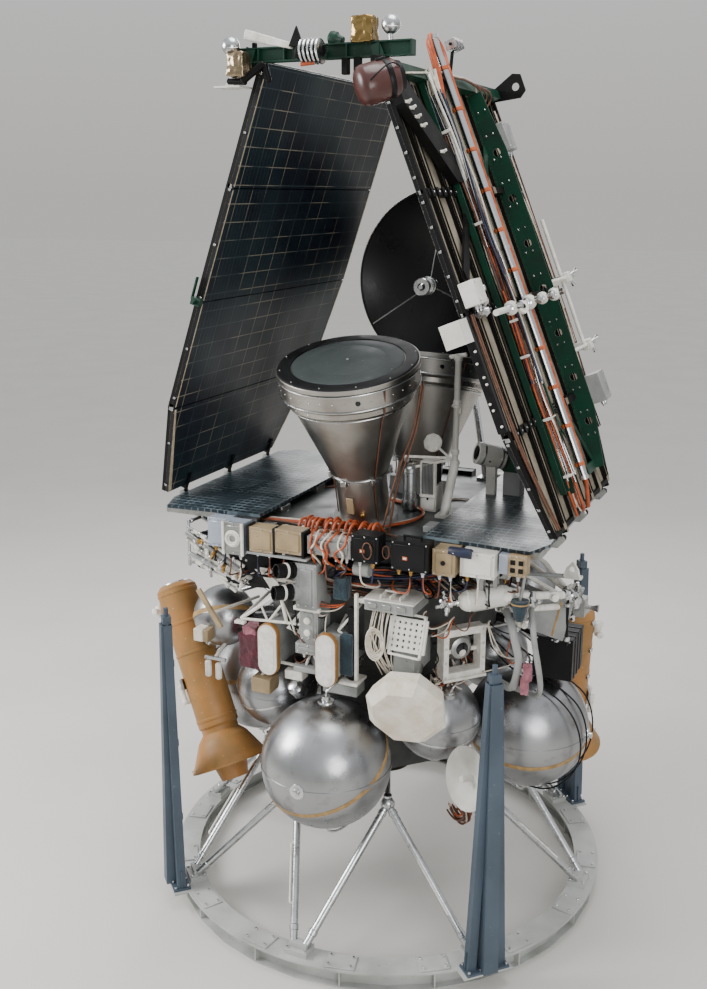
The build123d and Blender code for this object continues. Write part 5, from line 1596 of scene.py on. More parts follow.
class PROBE_OT_box_lids(bpy.types.Operator):
    """Lids, bolts and plugs on the equipment boxes round the deck and the ring"""

    bl_idname = "probe.box_lids"
    bl_label = "Equipment boxes"

    def execute(self, context):
        luck = random.Random(3)
        parts = []
        for tables, sign in ((FRONT_BOXES, -1), (REAR_BOXES, 1)):
            for x0, x1, y, low, top, finish in tables:
                made = dressed_face(x1 - x0, low, top, finish, luck)
                place = to((x0 + x1) / 2, y, 0) @ spun(90 * sign)
                move_all(made, place)
                parts += made
        finished(parts, "deck_box_lids", "craft", "white_paint")
        parts = []
        for azimuth, half, low, top, depth, finish in RING_BOXES:
            made = dressed_face(2 * half, low, top, finish, luck)
            move_all(made, spun(azimuth) @ to(HULL_RADIUS + depth, 0, 0))
            parts += made
        finished(parts, "ring_box_lids", "craft", "white_paint")

        parts = []
        # Carry handle and bare plates of the black boxes, sockets of the last tan box
        parts += [rod((x, -1.22, 3.53), (x, -1.22, 3.556), 0.009, 10, "wire_black") for x in (0.62, 0.755)]
        parts += [
            rod((0.61, -1.22, 3.556), (0.765, -1.22, 3.556), 0.01, 10, "wire_black"),
            fitting(
                ((0.014, 0), (0.018, 0.004), (0.018, 0.01), (0.01, 0.014)), 16, (0.935, -1.245, 3.39),
                (0, -1, 0), "wire_black",
            ),
        ]
        for x, z, y in ((0.655, 3.405, -1.306), (0.315, 3.42, -1.316)):
            parts += [
                bar((x - 0.02, y, z - 0.014), (x + 0.02, y + 0.006, z + 0.014), 0.002, "tape_orange"),
                bar((x - 0.012, y - 0.002, z - 0.007), (x + 0.012, y, z + 0.007), 0.0008, "clip_white"),
            ]
        parts += [
            bar((x - 0.018, -1.16, z - 0.018), (x + 0.018, -1.15, z + 0.018), 0.003, "wire_black")
            for x in (1.435, 1.495) for z in (3.375, 3.435)
        ]
        # Round reel in the silver frame box
        for radius, out in ((0.062, -1.306), (0.05, -1.314), (0.036, -1.306)):
            deselect()
            bpy.ops.mesh.primitive_torus_add(
                major_radius=radius, minor_radius=0.008, major_segments=32, minor_segments=8,
                rotation=(math.pi / 2, 0, 0), location=(-0.808, out, 3.372),
            )
            bpy.ops.object.transform_apply()
            parts.append(coat(bpy.context.object, "clip_white"))
        parts += [
            bar((-0.905, -1.312, 3.235), (-0.885, -1.29, 3.505), 0.003, "clip_white"),
            bar((-0.735, -1.312, 3.235), (-0.712, -1.29, 3.505), 0.003, "clip_white"),
        ]
        # Dark frame round the two tan boxes
        for x in (-0.672, -0.443, -0.192):
            parts.append(bar((x - 0.01, -1.3, 3.285), (x + 0.01, -1.18, 3.5), 0.002, "black_paint"))
        parts += [
            bar((-0.69, -1.298, 3.262), (-0.16, -1.17, 3.282), 0.003, "grey_paint"),
            # Dark plug under the fixed panel at the right
            fitting(
                ((0.034, 0), (0.038, 0.008), (0.038, 0.17), (0.034, 0.178)), 20, (0.965, -1.2, 3.475),
                (1, -0.05, 0), "wire_blue",
            ),
        ]
        finished(parts, "deck_box_fittings", "craft", "white_paint")
        return {"FINISHED"}


def stadium(width, height, thick):
    """A flat bar with round ends that stands in X and Z and is extruded from y = 0 to y = thick."""
    deselect()
    bpy.ops.mesh.primitive_circle_add(
        vertices=40, radius=width / 2, fill_type="NGON", rotation=(math.pi / 2, 0, 0),
    )
    bpy.ops.object.transform_apply()
    bpy.ops.object.mode_set(mode="EDIT")
    bpy.ops.mesh.select_all(action="SELECT")
    bpy.ops.mesh.extrude_region_move(TRANSFORM_OT_translate={"value": (0, thick, 0)})
    bpy.ops.mesh.select_all(action="SELECT")
    bpy.ops.mesh.normals_make_consistent(inside=False)
    bpy.ops.object.mode_set(mode="OBJECT")
    piece = bpy.context.object
    for vertex in piece.data.vertices:
        vertex.co.z += math.copysign((height - width) / 2, vertex.co.z)
    return piece


def pouch(low, high, luck, swell=0.012):
    """A cloth-covered box: rounded, swollen and uneven."""
    deselect()
    low, high = Vector(low), Vector(high)
    bpy.ops.mesh.primitive_cube_add(size=1, location=(low + high) / 2, scale=(high - low) * 0.94)
    bpy.ops.object.transform_apply()
    bpy.ops.object.mode_set(mode="EDIT")
    bpy.ops.mesh.select_all(action="SELECT")
    bpy.ops.mesh.subdivide(number_cuts=5)
    bpy.ops.object.mode_set(mode="OBJECT")
    piece = bpy.context.object
    for vertex in piece.data.vertices:
        vertex.co += Vector([luck.uniform(-swell, swell) for _ in range(3)])
    smooth = piece.modifiers.new("soft", "SUBSURF")
    smooth.levels = smooth.render_levels = 2
    bpy.ops.object.modifier_apply(modifier=smooth.name)
    return piece


class PROBE_OT_front_instruments(bpy.types.Operator):
    """Star sensors, oval covers, cloth covers, bottle fittings and small gear on the front"""

    bl_idname = "probe.front_instruments"
    bl_label = "Front instruments"

    def execute(self, context):
        luck = random.Random(31)
        parts = []
        # Star sensors: silver housings behind the black hoods, a white ring and the lens
        for at, way in (
            ((-0.275, -1.225, 3.16), (-0.55, -0.8, 0.12)),
            ((-0.275, -1.26, 2.99), (-0.6, -0.75, 0.1)),
        ):
            place = facing(at, way)
            made = [
                turned(((0.06, -0.05), (0.068, -0.044), (0.068, 0.03), (0.06, 0.036)), 28, "grey_paint"),
                turned(((0.06, 0.094), (0.0625, 0.097), (0.0625, 0.112), (0.06, 0.115)), 28, "clip_white"),
                turned(((0.047, 0.15), (0.044, 0.16), (0.024, 0.167), (0.006, 0.169)), 28, "lens_glass"),
            ]
            for k in range(6):
                made.append(moved(coat(hex_bolt(0.005, 0.006), "steel"), spun(60 * k) @ to(0.062, 0, 0.036)))
            move_all(made, place)
            parts += made
        # Cover plates, caps and bolts of the stepped column
        for x0, x1, y, low, top in (
            (-0.255, -0.105, -1.27, 2.88, 3.215),
            (-0.245, -0.115, -1.23, 2.59, 2.84),
            (-0.275, -0.085, -1.25, 2.478, 2.552),
        ):
            made = dressed_face(x1 - x0, low, top, "grey_paint", luck)
            move_all(made, to((x0 + x1) / 2, y, 0) @ spun(-90))
            parts += made
        for z in (2.66, 2.76):
            parts.append(fitting(
                ((0.024, 0), (0.028, 0.006), (0.028, 0.022), (0.018, 0.026)), 20, (-0.18, -1.244, z),
                (0, -1, 0), "clip_white",
            ))
        parts.append(bar((-0.3, -1.262, 2.838), (-0.07, -1.225, 2.872), 0.004, "clip_white"))
        finished(parts, "star_sensor_fittings", "craft", "grey_paint")

        parts = []
        for x, z, y in ((-0.555, 2.44, -1.195), (0.01, 2.48, -1.29)):
            parts.append(moved(coat(stadium(0.182, 0.447, 0.044), "ochre_paint"), to(x, y - 0.034, z)))
            for wide, high, thick, out in ((0.146, 0.41, 0.012, 0.04), (0.128, 0.392, 0.01, 0.046)):
                parts.append(moved(
                    coat(stadium(wide, high, thick), "clip_white"), to(x - 0.006, y - out, z),
                ))
        finished(parts, "oval_rims", "craft", "white_paint")

        parts = [
            # White blades beside the upper sensor, and the rails of the blue-green cover
            coat(bar((-0.62, -1.150, 3.005), (-0.42, -1.136, 3.055), 0.005), "clip_white"),
            coat(bar((-0.655, -1.152, 3.045), (-0.545, -1.138, 3.105), 0.005), "clip_white"),
            coat(bar((0.206, -1.215, 2.300), (0.232, -1.180, 3.030), 0.004), "clip_white"),
            coat(bar((0.090, -1.260, 2.270), (0.250, -1.060, 2.296), 0.004), "clip_white"),
            coat(bar((0.150, -1.205, 2.296), (0.206, -1.150, 2.905), 0.004), "wire_black"),
            coat(bar((0.232, -1.200, 2.955), (0.300, -1.150, 2.995), 0.004), "clip_white"),
        ]
        parts += [
            coat(pouch((0.096, -1.24, 2.33), (0.2, -1.165, 2.7), luck, 0.006), "teal_cloth"),
            coat(pouch((-0.88, -1.165, 2.19), (-0.65, -0.93, 2.52), luck, 0.012), "maroon_cloth"),
            coat(pouch((0.03, -1.225, 2.96), (0.15, -1.12, 3.14), luck, 0.008), "teal_cloth"),
            # Pink fold on top of the dark bag beside the left oval
            coat(pouch((-0.84, -1.15, 2.48), (-0.7, -0.99, 2.57), luck, 0.012), "pink_cloth"),
            # Grey canister and dark pot between the column and the tray
            fitting(
                ((0.05, 0), (0.058, 0.008), (0.058, 0.13), (0.05, 0.138)), 24, (0.195, -1.17, 3.23),
                (1, -0.1, 0), "grey_paint",
            ),
            fitting(
                ((0.046, 0), (0.052, 0.008), (0.052, 0.07), (0.04, 0.076)), 24, (-0.035, -1.16, 3.19),
                (0.5, -0.86, 0), "wire_black",
            ),
        ]
        # White trusses in front of the covers, the small white bracket and the tan strip over the tank
        parts += struts(
            8, "clip_white",
            (-812, -1200, 2660, -447, -1200, 2935, 14), (-447, -1200, 2935, -390, -1200, 2690, 14),
            (-812, -1200, 2660, -390, -1200, 2690, 12), (-620, -1200, 2800, -560, -1200, 2670, 9),
            (-560, -1200, 2670, -440, -1200, 2830, 9), (-470, -1200, 2920, -560, -1100, 3090, 10),
            (206, -1190, 2880, 60, -1190, 2690, 10), (60, -1190, 2690, 206, -1190, 2640, 8),
            # Feet of the trusses on the column and on the hull, and the rail that joins the ovals' boxes
            (-390, -1200, 2690, -260, -1190, 2690, 12), (-447, -1200, 2935, -262, -1180, 2900, 12),
            (-812, -1200, 2660, -790, -600, 2760, 13), (-560, -1100, 3090, -540, -830, 3090, 10),
            (60, -1190, 2690, 40, -980, 2760, 11), (206, -1190, 2880, 190, -960, 2900, 11),
            (-500, -1120, 2300, -50, -1150, 2300, 14), (-333, -1150, 2120, -333, -1130, 2300, 14),
            (160, -1120, 2200, 160, -1120, 2290, 16), (0, -1120, 2200, 10, -1170, 2330, 16),
            (-1060, -1235, 2680, -950, -640, 2640, 14), (-1110, -1140, 2230, -1120, -880, 2320, 16),
            (70, -1140, 3080, 80, -960, 3110, 14), (250, -1170, 3230, 250, -950, 3240, 14),
            (20, -1150, 3190, 30, -960, 3200, 14), (-640, -1150, 2600, -600, -950, 2640, 12),
            (-460, -1143, 3030, -300, -1150, 3030, 10), (-640, -1143, 3080, -600, -800, 3090, 10),
            (-700, -1080, 2120, -600, -1120, 2260, 14), (-240, -1180, 2320, -200, -1120, 2480, 12),
        )
        parts += [
            bar((-0.86, -1.23, 2.62), (-0.77, -1.18, 2.645), 0.003, "clip_white"),
            # Horn-shaped white web between the star sensors and the truss
            moved(
                coat(
                    cut_plate((
                        (-0.691, 3.09), (-0.588, 3.078), (-0.492, 3.015), (-0.44, 2.94), (-0.43, 2.86),
                        (-0.52, 2.88), (-0.56, 2.96), (-0.61, 3.03),
                    ), 0.012),
                    "clip_white",
                ),
                to(0, -1.158, 0) @ Matrix.Rotation(math.pi / 2, 4, "X"),
            ),
            moved(
                bar((-0.022, -0.014, -0.185), (0.022, 0.014, 0.185), 0.003, "tan_paint"),
                to(-1.085, -1.235, 2.715) @ Matrix.Rotation(math.radians(-34), 4, "Y"),
            ),
        ]
        # Boxes and the silver pot under the two ovals
        for low, high, finish in (
            ((-0.75, -1.17, 2.01), (-0.575, -1.0, 2.14), "tan_paint"),
            ((-0.43, -1.18, 2.19), (-0.27, -1.06, 2.27), "clip_white"),
            ((-0.362, -1.135, 2.262), (-0.338, -1.1, 2.322), "clip_white"),
            ((-0.085, -1.18, 2.14), (0.215, -1.02, 2.225), "grey_paint"),
            ((-0.66, -1.18, 2.545), (-0.6, -1.12, 2.655), "wire_black"),
            ((-0.11, -1.19, 2.24), (-0.072, -1.13, 2.42), "tan_paint"),
            ((-0.32, -1.235, 2.3), (-0.11, -1.15, 2.345), "grey_paint"),
        ):
            parts.append(bar(low, high, 0.006, finish))
        parts.append(fitting((
            (0.04, -0.06), (0.062, -0.05), (0.062, 0.03), (0.05, 0.045), (0.044, 0.075), (0.026, 0.082),
        ), 24, (-0.333, -1.15, 2.1), (-0.2, -0.6, 0.7), "strut_metal"))
        for x, z in ((-1.165, 2.21), (-1.065, 2.2)):
            parts.append(fitting(
                ((0.022, 0), (0.028, 0.01), (0.028, 0.13), (0.02, 0.14)), 14, (x, -1.16, z), (0, 0, -1),
                "clip_white",
            ))
        parts += [
            rod((-1.2, -1.15, 2.235), (-1.01, -1.13, 2.225), 0.018, 10, "steel"),
            bar((1.325, -1.14, 3.33), (1.395, -1.04, 3.48), 0.004, "wrap_foil"),
            # Cream box on the service tank with its tan side
            bar((-1.29, -1.18, 2.375), (-1.2, -1.06, 2.485), 0.006, "cream_cloth"),
            bar((-1.199, -1.178, 2.378), (-1.15, -1.062, 2.482), 0.006, "tan_paint"),
        ]
        finished(parts, "front_covers", "craft", "white_paint")

        # Frame and clamp of the plate with holes, the tray's rails, the square frame's rails and its sight
        parts = []
        place = facing((0.65, -1.21, 2.76), (-0.1, -0.93, 0.33))
        for x0, y0, x1, y1 in (
            (-0.14, -0.17, -0.122, 0.17), (0.122, -0.17, 0.14, 0.17), (-0.14, 0.152, 0.14, 0.17),
            (-0.14, -0.17, 0.14, -0.152),
        ):
            parts.append(moved(bar((x0, y0, -0.012), (x1, y1, 0.016), 0.002, "clip_white"), place))
        for k in range(3):
            parts.append(bar(
                (0.33 + 0.12 * k, -1.243, 2.945), (0.4 + 0.12 * k, -1.228, 2.99), 0.004, "alloy",
            ))
        parts.append(bar((0.29, -1.24, 3.008), (0.71, -0.92, 3.02), 0.003, "clip_white"))
        for x in (0.42, 0.5, 0.58):
            parts.append(bar((x - 0.006, -1.2, 3.018), (x + 0.006, -1.02, 3.05), 0.003, "clip_white"))
        parts += [
            bar((0.42, -1.11, 3.046), (0.58, -1.098, 3.062), 0.003, "clip_white"),
            bar((0.528, -1.195, 2.388), (0.702, -1.178, 2.632), 0.004, "grey_paint"),
        ]
        place = spun(-42) @ to(1.31, 0, 2.56)
        sight = [
            turned((
                (0.1, -0.075), (0.118, -0.066), (0.118, -0.03), (0.106, -0.022), (0.088, 0.03),
                (0.06, 0.044),
            ), 28, "alloy"),
            turned(((0.056, 0.04), (0.05, 0.05), (0.02, 0.056), (0.004, 0.057)), 24, "lens_glass"),
        ]
        move_all(sight, place @ facing((-0.03, 0, 0.02), (1, 0, 0)))
        for z, half in ((-0.205, 0.19), (0.205, 0.19)):
            sight.append(moved(
                bar((0.045, -half, z - 0.012), (0.075, half, z + 0.012), 0.003, "clip_white"), place,
            ))
        for y in (-0.165, 0.165):
            for z in (-0.18, -0.06, 0.06, 0.18):
                sight.append(moved(
                    coat(hex_bolt(0.009, 0.009), "steel"), place @ facing((0.055, y, z), (1, 0, 0)),
                ))
        parts += sight
        finished(parts, "plate_and_frame_fittings", "craft", "white_paint")

        # Gas bottle: straps, neck, valve cluster, and the covered cone and its holder beside it
        start, end = Vector((1.09, -1.1, 3.07)), Vector((1.32, -0.99, 3.11))
        parts = []
        for share in (0.0, 0.5, 1.0):
            parts.append(collar(
                start, end, share, 0.0835, 0.016, 32, "alloy" if share == 0.5 else "clip_white",
            ))
        left = (start - end).normalized()
        parts.append(fitting((
            (0.03, 0.07), (0.032, 0.09), (0.022, 0.094), (0.022, 0.12), (0.034, 0.124), (0.034, 0.15),
            (0.02, 0.156),
        ), 20, start, left, "steel"))
        hub = start + left * 0.15
        for way in (
            (-0.3, -0.7, 0.4), (-0.8, -0.2, -0.3), (0.1, -0.7, -0.6), (-0.5, 0.2, 0.8), (-0.6, -0.6, -0.1),
        ):
            parts.append(fitting((
                (0.01, 0), (0.014, 0.04), (0.022, 0.044), (0.022, 0.066), (0.014, 0.07), (0.014, 0.1),
                (0.008, 0.102),
            ), 12, hub, way, "steel"))
        parts += [
            fitting((
                (0.065, 0), (0.067, 0.01), (0.06, 0.05), (0.036, 0.15), (0.03, 0.16),
            ), 24, (1.47, -1.04, 3.11), (0, 0, -1), "teal_cloth"),
            fitting((
                (0.064, 0.014), (0.07, 0.016), (0.07, 0.026), (0.064, 0.028),
            ), 24, (1.47, -1.04, 3.11), (0, 0, -1), "tape_tan"),
            rod((1.47, -1.04, 3.1), (1.5, -1.02, 3.36), 0.014, 12, "alloy"),
        ]
        finished(parts, "bottle_fittings", "craft", "white_paint")
        return {"FINISHED"}


class PROBE_OT_side_gear(bpy.types.Operator):
    """Rods, valve clusters, plates and bent pipes at the craft's left and right shoulders"""

    bl_idname = "probe.side_gear"
    bl_label = "Shoulder gear"

    def execute(self, context):
        luck = random.Random(41)
        parts = []
        # Pale rods that carry the jets: a fan from the hull to the thruster block on each side
        for side in (-1, 1):
            hub = Vector((side * 1.64, 0, 2.76))
            for y, z, radius in (
                (-0.42, 3.3, 0.018), (-0.62, 3.05, 0.02), (0.42, 3.3, 0.018), (0.62, 3.05, 0.02),
                (-0.3, 2.52, 0.016), (0.3, 2.52, 0.016),
            ):
                foot = Vector((side * math.sqrt(0.96 - y * y), y, z))
                near = hub + Vector((0, math.copysign(0.06, y), 0.03 if z > 2.8 else -0.05))
                parts += [
                    rod(foot, near, radius, 12, "clip_white" if z > 2.8 else "alloy"),
                    collar(foot, near, 0.06, radius + 0.01, 0.04, finish="steel"),
                    collar(foot, near, 0.9, radius + 0.01, 0.05, finish="steel"),
                ]
            for dx, dy, dz in ((0, 0.09, -0.06), (0, -0.09, -0.06), (0.04, 0, 0.1), (-0.06, 0.05, 0.09)):
                parts.append(fitting(
                    ((0.022, 0), (0.026, 0.006), (0.026, 0.05), (0.016, 0.056), (0.014, 0.08)), 14,
                    hub + Vector((side * dx, dy, dz)), (luck.uniform(-1, 1), dy * 8, dz * 9),
                    luck.choice(("steel", "clip_white")),
                ))
        finished(parts, "jet_rods", "craft", "white_paint")

        parts = []
        # White rod cluster at the front left corner, below the foil box
        lines = []
        for k in range(14):
            share = k / 13
            start = Vector((-1.355 + 0.1 * luck.random(), -1.1 - 0.05 * luck.random(), 3.36 - 0.3 * share))
            end = Vector((
                -0.84 + 0.2 * luck.random() - 0.2 * share, -1.09 - 0.04 * luck.random(),
                3.02 - 0.2 * share + 0.1 * luck.random(),
            ))
            radius = luck.choice((0.012, 0.016, 0.021, 0.014))
            finish = luck.choice(("clip_white", "alloy", "clip_white", "strut_metal"))
            lines.append((start, end, radius, finish))
        # Two uprights, two hangers and the bar to the foil box hold the cluster together
        lines += [
            (Vector((-1.33, -1.12, 3.42)), Vector((-1.33, -1.125, 3.02)), 0.013, "steel"),
            (Vector((-1.15, -1.14, 3.3)), Vector((-1.12, -1.135, 2.95)), 0.012, "alloy"),
            (Vector((-1.33, -1.12, 3.4)), Vector((-1.3, -0.9, 3.4)), 0.014, "alloy"),
            (Vector((-1.33, -1.125, 3.05)), Vector((-0.96, -1.06, 3.06)), 0.013, "alloy"),
            (Vector((-1.2, -1.14, 3.25)), Vector((-1.02, -1.12, 3.27)), 0.013, "steel"),
        ]
        for start, end, radius, finish in lines:
            parts += [
                rod(start, end, radius, 10, finish),
                collar(start, end, 0.1 + 0.2 * luck.random(), radius + 0.007, 0.026, finish="steel"),
                collar(start, end, 0.7 + 0.2 * luck.random(), radius + 0.006, 0.022, finish="steel"),
            ]
        for k in range(16):
            share = luck.random()
            at = Vector((
                -1.3 + 0.55 * share, -1.14 - 0.03 * luck.random(), 3.22 - 0.34 * share + 0.1 * luck.random(),
            ))
            size = luck.uniform(0.012, 0.022)
            valve = turned((
                (size * 0.7, -0.02), (size, -0.015), (size, 0.02), (size * 0.6, 0.024), (size * 0.5, 0.045),
                (size * 0.8, 0.048), (size * 0.8, 0.058), (size * 0.4, 0.06),
            ), 12)
            way = (luck.uniform(-0.8, 0.8), -1, luck.uniform(-0.8, 0.8))
            parts.append(coat(aim(valve, at, way), luck.choice(("steel", "brass", "clip_white", "steel"))))
        parts += [
            coat(pouch((-1.02, -1.12, 2.9), (-0.56, -0.9, 3.24), luck, 0.012), "wire_black"),
            coat(pouch((-1.3, -1.09, 2.98), (-0.98, -0.93, 3.3), luck, 0.012), "wire_black"),
        ]
        finished(parts, "corner_rods", "craft", "white_paint")

        parts = []
        # Right shoulder: tubes to the jets, valves, and a light plate with a tan line
        right = (
            ((1.34, -0.985, 3.11), (1.76, -0.52, 3.02), 0.03, "clip_white"),
            ((1.3, -0.9, 2.96), (1.7, -0.34, 2.86), 0.026, "clip_white"),
            ((1.56, -0.74, 3.06), (1.33, -0.7, 2.7), 0.02, "alloy"),
            ((1.76, -0.52, 3.02), (1.7, -0.18, 2.8), 0.024, "clip_white"),
            ((0.86, -0.62, 3.06), (1.34, -0.985, 3.11), 0.024, "alloy"),
            ((0.93, -0.48, 2.9), (1.3, -0.9, 2.96), 0.022, "alloy"),
            ((1.7, -0.47, 2.96), (1.7, -0.44, 2.56), 0.012, "wire_black"),
            ((1.56, -0.18, 2.48), (1.6, -0.44, 2.64), 0.016, "alloy"),
        )
        for start, end, radius, finish in right:
            parts += [
                rod(start, end, radius, 14, finish),
                collar(start, end, 0.12, radius + 0.01, 0.035, finish="steel"),
                collar(start, end, 0.86, radius + 0.012, 0.04, finish="steel"),
            ]
        for at, way, size in (
            ((1.35, -0.98, 3.1), (0.3, -0.8, 0.3), 0.04),
            ((1.5, -0.83, 3.07), (0.2, -0.8, -0.5), 0.036),
            ((1.62, -0.68, 3.05), (0.5, -0.8, 0.1), 0.034),
            ((1.74, -0.54, 3.02), (0.7, -0.6, -0.2), 0.04),
            ((1.33, -0.86, 2.94), (0.3, -0.8, -0.5), 0.034),
            ((1.4, -0.76, 2.82), (0.6, -0.7, 0.1), 0.03),
        ):
            parts.append(fitting((
                (size * 0.7, -0.04), (size, -0.03), (size, 0.03), (size * 0.6, 0.04), (size * 0.55, 0.065),
                (size * 0.85, 0.07), (size * 0.85, 0.09), (size * 0.4, 0.095),
            ), 18, at, way, luck.choice(("steel", "clip_white"))))
        # Arms of the light plate, the bottle's cradle and a tube to the valves
        for start, end, radius, finish in (
            ((1.56, -0.45, 2.76), (1.4, -0.3, 2.64), 0.016, "alloy"),
            ((1.62, -0.45, 2.88), (1.72, -0.46, 2.9), 0.012, "alloy"),
            ((1.13, -1.08, 3.0), (1.09, -0.88, 2.96), 0.018, "grey_paint"),
            ((1.28, -1.01, 3.04), (1.2, -0.82, 2.98), 0.018, "grey_paint"),
            ((1.12, -1.09, 3.0), (1.29, -1.005, 3.035), 0.02, "grey_paint"),
            ((1.47, -1.04, 2.96), (1.33, -0.86, 2.94), 0.014, "alloy"),
        ):
            parts.append(rod(start, end, radius, 14, finish))
        parts += [
            coat(pouch((1.505, -1.03, 2.46), (1.57, -0.965, 2.6), luck, 0.01), "pink_cloth"),
            coat(pouch((1.49, -1.02, 2.34), (1.55, -0.96, 2.48), luck, 0.01), "pink_cloth"),
            rod((1.545, -1.0, 2.47), (1.46, -0.985, 2.52), 0.01, 10, "alloy"),
        ]
        # Lifting lug behind the jets, a plate with one hole, low enough for the wing to open over it
        lug = cut_plate(((-0.075, -0.05), (0.075, -0.05), (0.05, 0.03), (0.0, 0.085), (-0.05, 0.03)), 0.02)
        lug = holed(lug, rod((0.0, 0.02, -0.05), (0.0, 0.02, 0.07), 0.024, 24))
        lug.data.transform(facing((1.69, -0.3, 3.13), (-0.3, -1.0, 0.1)))
        parts += [
            coat(lug, "clip_white"),
            bar((1.62, -0.305, 3.066), (1.76, -0.24, 3.09), 0.004, "clip_white"),
            rod((1.66, -0.27, 3.078), (0.94, -0.25, 3.02), 0.018, 12, "grey_paint"),
            moved(
                bar((-0.15, -0.008, -0.165), (0.15, 0.008, 0.165), 0.004, "grey_paint"),
                to(1.56, -0.455, 2.79) @ Matrix.Rotation(math.radians(12), 4, "Y"),
            ),
            moved(
                bar((0.05, -0.012, -0.15), (0.066, -0.006, 0.15), 0.002, "tape_tan"),
                to(1.56, -0.455, 2.79) @ Matrix.Rotation(math.radians(12), 4, "Y"),
            ),
        ]
        finished(parts, "right_shoulder_gear", "craft", "white_paint")
        # Two bent pipes from the valves down behind the tank
        thick = [
            (1.33, -0.9, 2.96), (1.4, -1.0, 2.9), (1.436, -1.02, 2.78), (1.474, -1.0, 2.62),
            (1.452, -0.98, 2.5), (1.42, -0.94, 2.36), (1.34, -0.84, 2.3), (1.2, -0.7, 2.3),
        ]
        thin = [
            (1.5, -0.83, 3.0), (1.56, -0.98, 2.9), (1.58, -1.0, 2.77), (1.622, -1.0, 2.58),
            (1.64, -0.98, 2.42), (1.6, -0.86, 2.28), (1.45, -0.7, 2.22), (1.1, -0.5, 2.2),
        ]
        for name, radius, run in (("thick", 0.032, thick), ("thin", 0.023, thin)):
            wires(f"shoulder_pipe_{name}", "craft", "grey_paint", radius, [run])

        parts = [bar((1.368, -0.194, 2.47), (1.702, 0.194, 2.503), 0.004, "black_paint")]
        for y in (-0.192, 0.192):
            for x in (1.4, 1.53, 1.67):
                way = math.copysign(1, y)
                parts.append(bolt((x, y, 2.486), (0, way, 0), 0.01, 0.01, "steel"))
        for y in (-0.1, 0.0, 0.1):
            parts.append(bar((1.36, y - 0.01, 2.14), (1.706, y + 0.01, 2.508), 0.003, "wire_black"))
        finished(parts, "side_cover_straps", "craft", "black_paint")
        return {"FINISHED"}


